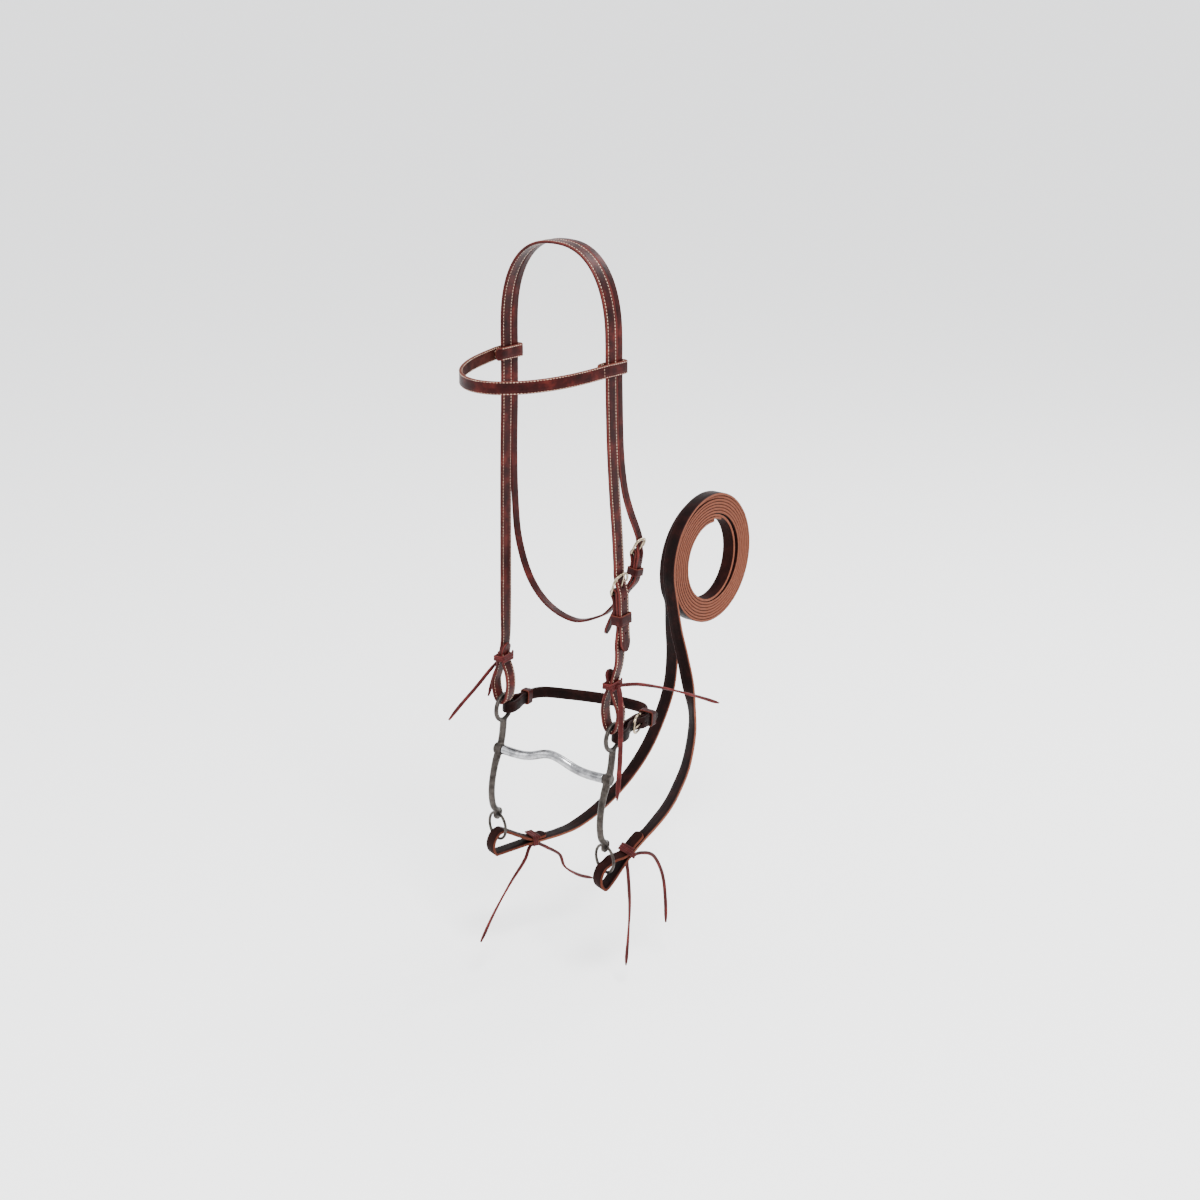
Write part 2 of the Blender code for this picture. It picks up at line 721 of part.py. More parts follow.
def curb():
    """The curb strap, its chape and buckle: both ends go round the rear of the bit's upper rings."""
    route = [
        (-0.0686, 0.0520, 0.0005),
        (-0.0686, 0.0400, 0.0003),
        (-0.0700, 0.0300, 0.0000),
        (-0.0768, 0.0190, -0.0010),
        (-0.0757, 0.0085, -0.0018),
        (-0.0700, 0.0040, -0.0020),
        (-0.0643, 0.0085, -0.0018),
        (-0.0634, 0.0190, -0.0010),
        (-0.0650, 0.0300, 0.0000),
        (-0.0650, 0.0400, 0.0003),
        (-0.0640, 0.0500, 0.0010),
        (-0.0540, 0.0590, 0.0020),
        (-0.0300, 0.0640, 0.0040),
        (0.0050, 0.0740, 0.0046),
        (0.0350, 0.0820, 0.0034),
        (0.0560, 0.0850, 0.0014),
        (0.0662, 0.0760, 0.0008),
        (0.0676, 0.0680, 0.0005),
        (0.0662, 0.0600, 0.0005),
        (0.0649, 0.0520, 0.0004),
        (0.0650, 0.0400, 0.0002),
        (0.0642, 0.0290, 0.0000),
        (0.0634, 0.0180, -0.0008),
        (0.0644, 0.0085, -0.0018),
        (0.0700, 0.0040, -0.0020),
        (0.0757, 0.0085, -0.0018),
        (0.0765, 0.0190, -0.0010),
        (0.0722, 0.0290, 0.0000),
        (0.0702, 0.0370, 0.0003),
        (0.0728, 0.0450, 0.0005),
        (0.0768, 0.0530, 0.0005),
        (0.0768, 0.0640, 0.0005),
        (0.0768, 0.0800, 0.0005),
    ]
    made = strap(
        "curb_strap",
        [on_bit(*spot) for spot in route],
        [BIT_UP],
        CURB_WIDTH,
        STRAP_THICK,
        LATIGO,
        116,
    )
    CURB_BUCKLE.pierce(made)
    rebase(made, BIT_CENTRE)
    fold = fold_points(CURB_BUCKLE, CHAPE_THICK, 0.0190, 0.0190)
    chape = strap(
        "curb_buckle_chape", fold, [BIT_UP], CURB_WIDTH * 0.8, CHAPE_THICK, LATIGO, 24
    )
    CURB_BUCKLE.slot(chape)
    rebase(chape, BIT_CENTRE)
    rebase(meshed(CURB_BUCKLE.frame()), BIT_CENTRE)
    CURB_BUCKLE.tongue()


# ---------------------------------------------------------------- reins


LOOP_TURN = math.radians(-18.3)
LOOP_ACROSS = Vector((math.cos(LOOP_TURN), math.sin(LOOP_TURN), 0))
LOOP_AHEAD = Vector((-math.sin(LOOP_TURN), math.cos(LOOP_TURN), 0))


def in_loop(side, y, z):
    """A point in a rein loop's plane: y along the loop and z up, from the middle of its ring."""
    return on_bit(BIT_HALF * side, SHANK_END_Y, REIN_RING_Z) + LOOP_AHEAD * y + Vector((0, 0, z))


def rein_route(side):
    """Each rein: its bit end from the tab to the tie, and its way from the tie to the coil."""
    ring = [
        in_loop(side, 0.0090, -0.0026 if side == NEAR else -0.0085),
        in_loop(side, 0.0022, -0.0067),
        in_loop(side, -0.0049, -0.0109),
        in_loop(side, -0.0092, -0.0216),
        in_loop(side, -0.0064, -0.0312),
        in_loop(side, 0.0012, -0.0318),
    ]
    if side == FAR:
        tab = [in_loop(FAR, 0.0609, -0.0248), in_loop(FAR, 0.0508, -0.0252), in_loop(FAR, 0.0381, -0.0243)]
        main = [in_loop(FAR, 0.0381, -0.0292), in_loop(FAR, 0.0506, -0.0292)]
        run = [
            (-0.0546, 0.0401, -0.6785),
            (-0.0494, 0.0560, -0.6779),
            (-0.0455, 0.0820, -0.6763),
            (-0.0396, 0.1204, -0.6643),
            (-0.0332, 0.1590, -0.6417),
            (-0.0265, 0.1882, -0.6119),
            (-0.0214, 0.2090, -0.5761),
            (-0.0166, 0.2195, -0.5407),
            (-0.0134, 0.2201, -0.5026),
            (-0.0110, 0.2105, -0.4615),
            (-0.0070, 0.1960, -0.4370),
            (-0.0030, 0.1905, -0.4250),
        ]
    else:
        tab = [in_loop(NEAR, 0.0471, 0.0185), in_loop(NEAR, 0.0358, 0.0099), in_loop(NEAR, 0.0246, -0.0005)]
        main = [in_loop(NEAR, 0.0261, -0.0052), in_loop(NEAR, 0.0360, 0.0045)]
        run = [
            (0.0793, 0.0414, -0.6421),
            (0.0830, 0.0526, -0.6341),
            (0.0799, 0.0852, -0.6227),
            (0.0750, 0.1100, -0.6110),
            (0.0666, 0.1398, -0.5930),
            (0.0564, 0.1642, -0.5678),
            (0.0466, 0.1781, -0.5440),
            (0.0335, 0.1870, -0.5165),
            (0.0216, 0.1924, -0.4884),
            (0.0120, 0.1930, -0.4600),
            (0.0060, 0.1870, -0.4300),
            (0.0020, 0.1833, -0.4080),
            (0.0000, 0.1825, -0.3950),
        ]
    start, ahead = Vector(run[0]), (Vector(run[1]) - Vector(run[0])).normalized()
    loop = tab + ring + main + [start - ahead * 0.0060, start]
    run[0] = start + ahead * RUN_GAP
    return loop, run


TWISTED = Vector((0.87, -0.50, 0))


def rein(side):
    """One rein's loop on its ring, which the bit carries, and its free run to the coil."""
    name = "near_rein" if side == NEAR else "far_rein"
    loop, run = rein_route(side)
    if side == FAR:
        sides = [LOOP_ACROSS] * 2 + [ACROSS] * (len(run) - 2)
    else:
        sides = [LOOP_ACROSS] + [TWISTED] * (len(run) - 4) + [ACROSS] * 3
    made = strap(name + "_loop", loop, [LOOP_ACROSS], STRAP_WIDTH, REIN_THICK, REIN_LEATHER, 40)
    rebase(made, BIT_CENTRE)
    strap(name + "_run", run, sides, STRAP_WIDTH, REIN_THICK, REIN_LEATHER, 44)


def coil():
    """The rolled rest of both reins: a turned ring as wide as a rein."""
    mesh = bpy.data.meshes.new("rein_coil")
    work = bmesh.new()
    half = STRAP_WIDTH / 2
    profile = [(COIL_INNER, half), (COIL_OUTER, half), (COIL_OUTER, -half), (COIL_INNER, -half)]
    verts = [work.verts.new((x, 0, z)) for x, z in profile]
    for first, second in zip(verts, verts[1:] + verts[:1]):
        work.edges.new((first, second))
    work.to_mesh(mesh)
    work.free()
    made = keep(bpy.data.objects.new("rein_coil", mesh), REIN_LEATHER)
    turned = made.modifiers.new("turned", "SCREW")
    turned.steps = 40
    turned.render_steps = 40
    turned.use_merge_vertices = True
    turned.merge_threshold = 0.00001
    made.matrix_world = Matrix.Translation(COIL_CENTRE) @ Matrix.Rotation(math.pi / 2, 4, "Y")


# ---------------------------------------------------------------- ties and laces


def tie(name, centre, across, outward, hole, origin=None):
    """A lace tied round two plies of strap: a low band as deep as its turns."""
    made = keeper(name, centre, across, outward, hole, TIE_WALL, TIE_LENGTH, LACE_LEATHER)
    if origin is not None:
        rebase(meshed(made), origin)


def lace(name, points, origin=None):
    """A lace end that hangs free."""
    radius = WIDE_LACE_RADIUS if name in WIDE_LACES else LACE_RADIUS
    made = tube(name, points, radius, LACE_LEATHER, 24)
    if origin is not None:
        rebase(meshed(made), origin)


def keepers():
    """The sliding keepers: one under each buckle and one on the curb strap's far end."""
    keeper(
        "cheek_keeper",
        CHEEK_BUCKLE.at(-0.0290, 0, 0.0034),
        CHEEK_BUCKLE.v,
        CHEEK_BUCKLE.w,
        (STRAP_WIDTH + 0.0010, 0.0114),
        0.0018,
        0.0110,
        LATIGO,
    )
    keeper(
        "throatlatch_keeper",
        THROAT_BUCKLE.at(-0.0190, 0, 0.0036),
        THROAT_BUCKLE.v,
        THROAT_BUCKLE.w,
        (THROAT_WIDTH + 0.0012, 0.0108),
        0.0016,
        0.0080,
        LATIGO,
    )
    near = keeper(
        "curb_keeper_near",
        on_bit(0.0720, 0.0680, 0.0005),
        BIT_UP,
        BIT_OUT,
        (CURB_WIDTH + 0.0010, 0.0142),
        0.0016,
        0.0080,
        LATIGO,
    )
    far = keeper(
        "curb_keeper_far",
        on_bit(-0.0668, 0.0400, 0.0003),
        BIT_UP,
        BIT_OUT,
        (CURB_WIDTH + 0.0010, 0.0082),
        0.0016,
        0.0080,
        LATIGO,
    )
    rebase(meshed(near), BIT_CENTRE)
    rebase(meshed(far), BIT_CENTRE)


def ties_and_laces():
    """The laces that tie the cheek loops and the reins' loops, and their hanging ends."""
    tie(
        "near_cheek_tie",
        over_ring(NEAR, -0.0016, 0.001, TIE_HEIGHT),
        BIT_REAR,
        BIT_OUT,
        CHEEK_TIE_HOLE,
    )
    tie(
        "far_cheek_tie",
        over_ring(FAR, -0.0016, 0.001, TIE_HEIGHT),
        BIT_REAR,
        BIT_OUT,
        CHEEK_TIE_HOLE,
    )
    tie(
        "near_rein_tie",
        in_loop(NEAR, 0.0301, 0.0017),
        LOOP_ACROSS,
        Vector((0, 0, 1)) - 0.93 * LOOP_AHEAD,
        REIN_TIE_HOLE,
        BIT_CENTRE,
    )
    tie(
        "far_rein_tie",
        in_loop(FAR, 0.0447, -0.0270),
        LOOP_ACROSS,
        (0, 0, 1),
        REIN_TIE_HOLE,
        BIT_CENTRE,
    )
    for name, route, origin in LACES:
        lace(name, route, origin)


WIDE_LACES = ("near_cheek_lace_hanging",)
LACES = (
    (
        "far_cheek_lace_long",
        [
            (-0.0775, -0.0130, -0.4590),
            (-0.0820, -0.0200, -0.4680),
            (-0.0910, -0.0330, -0.4860),
            (-0.1020, -0.0470, -0.5060),
            (-0.1100, -0.0569, -0.5216),
        ],
        None,
    ),
    (
        "far_cheek_lace_short",
        [
            (-0.0790, -0.0060, -0.4600),
            (-0.0830, -0.0080, -0.4700),
            (-0.0860, -0.0120, -0.4850),
            (-0.0875, -0.0170, -0.5000),
        ],
        None,
    ),
    (
        "near_cheek_lace_side",
        [
            (0.0790, 0.0140, -0.4570),
            (0.0850, 0.0300, -0.4600),
            (0.0960, 0.0580, -0.4700),
            (0.1080, 0.0920, -0.4850),
            (0.1200, 0.1256, -0.5016),
        ],
        None,
    ),
    (
        "near_cheek_lace_hanging",
        [
            (0.0795, 0.0030, -0.4640),
            (0.0840, -0.0013, -0.4787),
            (0.0860, -0.0040, -0.5077),
            (0.0860, -0.0056, -0.5413),
            (0.0850, -0.0086, -0.5801),
        ],
        None,
    ),
    (
        "far_rein_lace_front",
        [
            (-0.0610, 0.0177, -0.6873),
            (-0.0610, 0.0087, -0.7002),
            (-0.0610, -0.0151, -0.7181),
            (-0.0610, -0.0430, -0.7439),
            (-0.0610, -0.0665, -0.7709),
        ],
        BIT_CENTRE,
    ),
    (
        "far_rein_lace_rear",
        [
            (-0.0611, 0.0337, -0.6873),
            (-0.0611, 0.0496, -0.6983),
            (-0.0612, 0.0716, -0.7152),
            (-0.0612, 0.0811, -0.7342),
            (-0.0613, 0.1066, -0.7541),
            (-0.0614, 0.1327, -0.7681),
        ],
        BIT_CENTRE,
    ),
    (
        "near_rein_lace_hanging",
        [
            (0.0743, 0.0231, -0.6649),
            (0.0753, 0.0242, -0.6858),
            (0.0757, 0.0262, -0.7207),
            (0.0752, 0.0243, -0.7576),
            (0.0742, 0.0218, -0.7913),
        ],
        BIT_CENTRE,
    ),
    (
        "near_rein_lace_rear",
        [
            (0.0743, 0.0331, -0.6619),
            (0.0753, 0.0491, -0.6649),
            (0.0757, 0.0691, -0.6759),
            (0.0752, 0.0861, -0.7038),
            (0.0746, 0.0931, -0.7357),
            (0.0741, 0.0953, -0.7678),
        ],
        BIT_CENTRE,
    ),
)

crown()
near_cheek()
throatlatch()
CHEEK_BUCKLE.frame()
CHEEK_BUCKLE.tongue()
THROAT_BUCKLE.frame()
THROAT_BUCKLE.tongue()
browband()
keepers()
ties_and_laces()
for each_side in (NEAR, FAR):
    shank(each_side)
    rein_ring(each_side)
    rein(each_side)
mouthpiece()
curb()
coil()
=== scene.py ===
"""The looks of a western browband bridle: stitched latigo straps, buckles, bit, laces and rolled reins.

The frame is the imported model: +Z is up, -Y is where the horse's nose points, +X is its near side.
Straps and cords follow the same routes as their solids, with the detail that the solids leave out.
"""

import math
import random

import bmesh
import bpy
from mathutils import Euler, Matrix, Vector


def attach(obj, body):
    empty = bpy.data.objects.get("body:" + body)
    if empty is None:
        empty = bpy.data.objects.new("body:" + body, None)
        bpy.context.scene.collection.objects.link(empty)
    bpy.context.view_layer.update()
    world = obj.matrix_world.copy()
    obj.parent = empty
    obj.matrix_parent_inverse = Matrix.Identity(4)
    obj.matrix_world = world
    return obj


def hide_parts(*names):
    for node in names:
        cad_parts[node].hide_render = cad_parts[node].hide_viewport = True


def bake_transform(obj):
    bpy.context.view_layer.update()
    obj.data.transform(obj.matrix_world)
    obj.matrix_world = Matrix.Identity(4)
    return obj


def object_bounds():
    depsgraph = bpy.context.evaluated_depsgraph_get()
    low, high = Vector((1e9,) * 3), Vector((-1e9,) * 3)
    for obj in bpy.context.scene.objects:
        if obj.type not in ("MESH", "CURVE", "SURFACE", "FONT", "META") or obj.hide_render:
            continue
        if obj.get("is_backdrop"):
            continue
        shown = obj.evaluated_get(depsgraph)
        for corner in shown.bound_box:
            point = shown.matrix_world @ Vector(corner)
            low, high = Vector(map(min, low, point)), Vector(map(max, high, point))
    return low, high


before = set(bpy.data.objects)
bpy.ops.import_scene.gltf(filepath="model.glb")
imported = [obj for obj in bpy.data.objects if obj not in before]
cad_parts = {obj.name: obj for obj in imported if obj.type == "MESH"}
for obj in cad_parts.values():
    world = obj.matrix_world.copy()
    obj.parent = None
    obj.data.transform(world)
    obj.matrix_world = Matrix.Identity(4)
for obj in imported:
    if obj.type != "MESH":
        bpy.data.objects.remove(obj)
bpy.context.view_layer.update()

# ---------------------------------------------------------------- sizes, in metres

# Leather: widths and thicknesses
STRAP_WIDTH = 0.0159
STRAP_THICK = 0.0030
THROAT_WIDTH = 0.0095
THROAT_THICK = 0.0026
CURB_WIDTH = 0.0127
REIN_THICK = 0.0032
CHAPE_THICK = 0.0020

# The arch of the two crown straps
CHEEK_X = 0.069
ARCH_DROP = 0.098
ARCH_POWER = 2.4
THROAT_Y = (STRAP_WIDTH + THROAT_WIDTH) / 2 + 0.00035
THROAT_LIFT = 0.0002

# Creased lines along the edges, by their distance from the edge, and holes in the straps
GROOVE = 0.0023
REIN_GROOVE = 0.0019
THROAT_GROOVE = 0.0017
CHAPE_GROOVE = 0.0016
KEEPER_GROOVE = 0.0014
GROOVE_DEPTH = 0.00022
GROOVE_HALF = 0.0006
BILLET_HOLE = 0.0013
SMALL_HOLE = 0.0011
BILLET_HOLE_STEP = 0.019
THROAT_HOLE_STEP = 0.016
CURB_HOLE_STEP = 0.0125
HOLE_REACH = 0.003

# Browband: Y and Z of its ends, X of its end loops' inner and outer plies, and its seams
BROW_WIDTH = 0.0135
BROW_Z = -0.119
BROW_DROP = 0.006
BROW_DEPTH = 0.110
BROW_JOIN_Y = -0.012
BROW_OUT_X = 0.0738
BROW_IN_X = 0.0642
BROW_REAR = THROAT_Y + THROAT_WIDTH / 2
BROW_HALF = 0.0712
SEAM_X = 0.0716
SEAM_Y = BROW_JOIN_Y - 0.0045

# Bit: turned a little about two axes; the places of its parts are in its own frame
BIT_CENTRE = Vector((0.0, -0.004, -0.5127))
BIT_YAW = math.radians(6.7)
BIT_ROLL = math.radians(2.4)
BIT_HALF = 0.070
RING_RADIUS = 0.0145
RING_WIRE = 0.0025
MOUTH_Y = -0.007
MOUTH_Z = -0.047
MOUTH_RADIUS = 0.0052
PORT_HALF = 0.026
PORT_RISE = 0.014
SHANK_RADIUS = 0.0042
KNUCKLE_HALF = 0.0046
SHANK_END_Y = -0.007
SHANK_END_Z = -0.125
BOSS_RADIUS = 0.0068
BOSS_THICK = 0.0034
BOSS_HOLE = 0.0032
REIN_RING_RADIUS = 0.0152
REIN_RING_WIRE = 0.0016
REIN_RING_TURN = math.radians(-20)
REIN_RING_Z = SHANK_END_Z - REIN_RING_RADIUS + 0.0002

# Buckles, and the castings' fineness
BAR_RADIUS = 0.0012
TONGUE_RADIUS = 0.0009
TONGUE_TRAVEL = math.radians(10)
TONGUE_HOLE = TONGUE_RADIUS + 0.0005
BOW_START = 0.0012
BAR_PLACE = 0.0006
BUCKLE_VOXEL = 0.00022
SHANK_VOXEL = 0.00045
FOLD_ROOM = 0.0007
GAP = 0.0003

# Coil of the reins: entries in degrees from the front, and the last turn's loose stretch
COIL_CENTRE = Vector((0.0, 0.2668, -0.394))
COIL_OUTER = 0.080
LAYER_PITCH = 0.00345
COIL_TURNS = 4.4
COIL_STEPS = 24
COIL_EASE = 10
NEAR_LIFT = 0.0050
FAR_LIFT = -0.0040
NEAR_ENTRY = -17
FAR_ENTRY = -33
LOOSE_AT = math.radians(1300)
LOOSE_SPAN = math.radians(105)
LOOSE_BY = 0.006

# Laces, ties and knots
LACE_WIDTH = 0.0040
WIDE_LACE_WIDTH = 0.0052
WIDE_LACES = ("near_cheek_lace_hanging",)
WIDE_LACE_SIDE = Vector((0.78, 0.62, 0))
TIE_WALL = 0.0022
TIE_HEIGHT = 0.0590
TIE_TURNS = 2.3
TIE_PITCH = 0.0031
TIE_STRIP = (0.0030, 0.0017)
KNOT_WIRE = 0.00115
KNOT_ACROSS = 0.00125
KNOT_ALONG = 0.00105
KNOT_OUT = 0.0011
CHEEK_TIE_HOLE = (STRAP_WIDTH + 0.0044, 0.0094)
REIN_TIE_HOLE = (STRAP_WIDTH + 0.0020, 0.0092)

# Stitches: each one's outline is (place along it, part of its full width)
STITCH_PITCH = 0.0033
SEAM_PITCH = 0.0030
STITCH_PART = 0.66
STITCH_HALF_WIDTH = 0.00036
STITCH_HEIGHT = 0.00034
STITCH_SUNK = 0.00012
STITCH_ROWS = (STRAP_WIDTH / 2 - GROOVE, GROOVE - STRAP_WIDTH / 2)
STITCH_SHAPE = ((-1, 0.25), (-0.75, 0.8), (0, 1.0), (0.75, 0.8), (1, 0.25))

# Routes: samples a stretch, length added a radian of bend, and step for the direction ahead
FINENESS = 24
BEND_LENGTH = 0.006
AHEAD_STEP = 0.02

# Sides and directions
NEAR, FAR = 1, -1
SIDE_NAMES = {NEAR: "near", FAR: "far"}
REARWARD = Vector((0, 1, 0))
ACROSS = Vector((1, 0, 0))
UPWARD = Vector((0, 0, 1))
TWISTED = Vector((0.87, -0.50, 0))
LOOP_TURN = math.radians(-18.3)
LOOP_ACROSS = Vector((math.cos(LOOP_TURN), math.sin(LOOP_TURN), 0))
LOOP_AHEAD = Vector((-math.sin(LOOP_TURN), math.cos(LOOP_TURN), 0))


# ---------------------------------------------------------------- camera, light and floor

VIEW_AZIMUTH = math.radians(38.5)
VIEW_PITCH = math.radians(18.3)
CAMERA_PLACE = Vector((1.3447, -1.6213, 0.3205))
LENS = 63.0
SENSOR_WIDTH = 36.0
FLOOR_HALF = 60.0
FLOOR_DROP = 0.03
PAPER_COLOUR = (0.97, 0.97, 0.965, 1)
SKY_COLOUR = (0.97, 0.98, 1.0, 1)
SKY_STRENGTH = 2.1
LAMP_TARGET = Vector((0, 0.05, -0.4))
LAMPS = (
    ("key", (1.3, -0.9, 1.9), 0.8, 130),
    ("fill", (-1.6, -1.6, 0.5), 1.6, 20),
    ("rim", (0.4, 1.8, 1.4), 1.0, 50),
)


def placed(name, data):
    """A new object in the scene that holds `data`."""
    made = bpy.data.objects.new(name, data)
    bpy.context.scene.collection.objects.link(made)
    return made


def meshed(name, work):
    """A mesh of the faces in `work`, which is freed."""
    mesh = bpy.data.meshes.new(name)
    work.to_mesh(mesh)
    work.free()
    return mesh


def aim(made, place, ahead):
    """Stands a camera or a lamp at `place` and turns it to look along `ahead`."""
    made.location = place
    made.rotation_euler = ahead.to_track_quat("-Z", "Y").to_euler()


def camera():
    """The camera stands ahead of the near side, higher than the crown, and looks back and down."""
    data = bpy.data.cameras.new("camera")
    data.lens = LENS
    data.sensor_width = SENSOR_WIDTH
    made = placed("camera", data)
    level = math.cos(VIEW_PITCH)
    ahead = Vector((
        -math.sin(VIEW_AZIMUTH) * level, math.cos(VIEW_AZIMUTH) * level, -math.sin(VIEW_PITCH)
    ))
    aim(made, CAMERA_PLACE, ahead)
    bpy.context.scene.camera = made


def studio():
    """A pale floor and sky round the bridle, with a key, a fill and a rim light."""
    floor_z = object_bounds()[0][2] - FLOOR_DROP
    work = bmesh.new()
    bmesh.ops.create_grid(work, x_segments=1, y_segments=1, size=FLOOR_HALF)
    for vert in work.verts:
        vert.co.z = floor_z
    floor = placed("floor", meshed("floor", work))
    paper = bpy.data.materials.new("paper")
    paper.use_nodes = True
    shader = paper.node_tree.nodes["Principled BSDF"]
    shader.inputs["Base Color"].default_value = PAPER_COLOUR
    shader.inputs["Roughness"].default_value = 0.9
    floor.data.materials.append(paper)
    floor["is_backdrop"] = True
    world = bpy.data.worlds.new("studio")
    world.use_nodes = True
    sky = world.node_tree.nodes["Background"]
    sky.inputs["Color"].default_value = SKY_COLOUR
    sky.inputs["Strength"].default_value = SKY_STRENGTH
    bpy.context.scene.world = world
    for name, place, size, watts in LAMPS:
        data = bpy.data.lights.new(name, "AREA")
        data.size = size
        data.energy = watts
        aim(placed(name, data), place, LAMP_TARGET - Vector(place))


camera()
studio()


# ---------------------------------------------------------------- materials


class Surface:
    """A Principled BSDF material and short ways to add texture nodes to it."""

    def __init__(self, name, roughness, metallic=0.0, specular=0.5):
        self.material = bpy.data.materials.new(name)
        self.material.use_nodes = True
        self.nodes = self.material.node_tree.nodes
        self.links = self.material.node_tree.links
        self.shader = self.nodes["Principled BSDF"]
        looks = {"Roughness": roughness, "Metallic": metallic, "Specular IOR Level": specular}
        self.feed(self.shader, looks)

    def feed(self, node, inputs):
        """Links each socket in `inputs` to the node, and sets each plain value."""
        for key, value in inputs.items():
            if hasattr(value, "is_linked"):
                self.links.new(value, node.inputs[key])
            else:
                node.inputs[key].default_value = value
        return node

    def add(self, kind, inputs):
        return self.feed(self.nodes.new("ShaderNode" + kind), inputs)

    def place(self, scale=(1.0, 1.0, 1.0), kind="UV"):
        """Texture coordinates, in metres, times `scale`."""
        source = self.nodes.new("ShaderNodeTexCoord")
        return self.add("Mapping", {"Vector": source.outputs[kind], "Scale": scale}).outputs["Vector"]

    def noise(self, vector, scale, detail=4.0, roughness=0.55):
        inputs = {"Vector": vector, "Scale": scale, "Detail": detail, "Roughness": roughness}
        return self.add("TexNoise", inputs).outputs["Fac"]

    def cells(self, vector, scale):
        return self.add("TexVoronoi", {"Vector": vector, "Scale": scale}).outputs["Distance"]

    def ramp(self, value, *stops):
        """A colour ramp through (place, colour) stops."""
        node = self.add("ValToRGB", {"Fac": value})
        elements = node.color_ramp.elements
        while len(elements) < len(stops):
            elements.new(0.5)
        for element, (where, colour) in zip(elements, stops):
            element.position = where
            element.color = (*colour, 1.0)
        return node.outputs["Color"]

    def mix(self, amount, colour, stain):
        """A colour mixed with a plain one."""
        node = self.nodes.new("ShaderNodeMix")
        node.data_type = "RGBA"
        return self.feed(node, {0: amount, 6: colour, 7: (*stain, 1.0)}).outputs[2]

    def stretch(self, value, low, high):
        """`value`, from 0 to 1, mapped to the range low to high."""
        return self.add("MapRange", {"Value": value, "To Min": low, "To Max": high}).outputs["Result"]

    def rubbed_and_sheen(self, amount):
        """Edge rubbing and painted edge highlight at each corner of the mesh, times `amount`."""
        wear_and_sheen = self.nodes.new("ShaderNodeAttribute")
        wear_and_sheen.attribute_name = "wear_and_sheen"
        node = self.nodes.new("ShaderNodeMath")
        node.operation = "MULTIPLY"
        return self.feed(node, {0: wear_and_sheen.outputs["Fac"], 1: amount}).outputs[0]

    def bump(self, height, distance, strength, *after):
        """Bumps of a height and strength, on top of the bumps in `after` if there are any."""
        inputs = {"Height": height, "Distance": distance, "Strength": strength}
        inputs.update(("Normal", normal) for normal in after)
        return self.add("Bump", inputs).outputs["Normal"]

    def finish(self, colour, normal, **looks):
        self.feed(self.shader, {"Base Color": colour, "Normal": normal, **looks})
        return self.material


def grain_leather(name, dark, middle, light, roughness=(0.30, 0.52), specular=0.07):
    """The smooth side of oiled latigo: mottled dye, fine pores, and lighter edges, part worn dye and part
    painted highlight.
    """
    made = Surface(name, 0.4, specular=specular)
    flat = made.place()
    mottle = made.noise(flat, 55.0, 5.0, 0.6)
    streak = made.noise(made.place((0.25, 1.6, 1.0)), 420.0, 3.0, 0.6)
    colour = made.ramp(mottle, (0.30, dark), (0.52, middle), (0.74, light))
    colour = made.mix(made.stretch(streak, 0.0, 0.34), colour, dark)
    pores = made.cells(flat, 2600.0)
    creases = made.noise(made.place((1.5, 0.5, 1.0)), 900.0, 4.0, 0.65)
    # Lighter colour on the rounded edges: partly worn-off dye, partly a painted highlight where the edges
    # catch the light.
    wear_and_sheen = made.rubbed_and_sheen(made.stretch(mottle, 0.15, 0.9))
    colour = made.mix(wear_and_sheen, colour, tuple(min(1.0, 1.5 * c + 0.01) for c in light))
    gloss = made.stretch(made.noise(flat, 160.0, 3.0), *roughness)
    normal = made.bump(pores, 0.00010, 0.35, made.bump(creases, 0.00012, 0.45))
    return made.finish(colour, normal, Roughness=gloss)


def cut_leather(name, dark, light):
    """A cut edge: paler fibres that run along the strap, rubbed and dyed unevenly."""
    made = Surface(name, 0.62, specular=0.05)
    fibres = made.noise(made.place((0.12, 2.2, 1.0)), 1500.0, 4.0, 0.7)
    patches = made.noise(made.place(), 90.0, 3.0)
    colour = made.ramp(fibres, (0.28, dark), (0.72, light))
    colour = made.mix(made.stretch(patches, 0.0, 0.45), colour, dark)
    return made.finish(colour, made.bump(fibres, 0.00016, 0.55), Roughness=made.stretch(fibres, 0.5, 0.75))


def flesh_leather(name, dark, light):
    """The rough side: short nap with a soft mottle."""
    made = Surface(name, 0.7, specular=0.04)
    flat = made.place()
    nap = made.noise(flat, 1900.0, 4.0, 0.75)
    cloud = made.noise(flat, 70.0, 4.0, 0.6)
    colour = made.ramp(cloud, (0.3, dark), (0.72, light))
    colour = made.mix(made.stretch(nap, 0.0, 0.4), colour, dark)
    return made.finish(colour, made.bump(nap, 0.00018, 0.5), Roughness=made.stretch(nap, 0.55, 0.85))


def thread(name, dark, light):
    """Waxed thread: a twisted cord seen from close by."""
    made = Surface(name, 0.55, specular=0.4)
    solid = made.place(kind="Object")
    twist = made.add("TexWave", {"Vector": solid, "Scale": 900.0, "Distortion": 1.2})
    twist.bands_direction = "DIAGONAL"
    colour = made.ramp(made.noise(solid, 130.0), (0.32, dark), (0.62, light))
    return made.finish(colour, made.bump(twist.outputs["Fac"], 0.00012, 0.6))


def metal(name, dark, light, roughness, grain_scale, bump_depth, spots=0.35):
    """Cast or drawn metal: patches of tarnish, fine scratches and small pits."""
    made = Surface(name, roughness[0], metallic=1.0)
    solid = made.place(kind="Object")
    patches = made.noise(solid, grain_scale, 6.0, 0.62)
    scratches = made.noise(made.place((1.0, 0.15, 1.0), "Object"), grain_scale * 14, 3.0, 0.7)
    pits = made.cells(solid, grain_scale * 9)
    colour = made.ramp(patches, (0.34, dark), (0.62, light))
    colour = made.mix(made.stretch(scratches, 0.0, spots), colour, dark)
    gloss = made.stretch(patches, roughness[1], roughness[0])
    normal = made.bump(pits, bump_depth * 1.4, 0.35, made.bump(scratches, bump_depth, 0.5))
    return made.finish(colour, normal, Roughness=gloss)


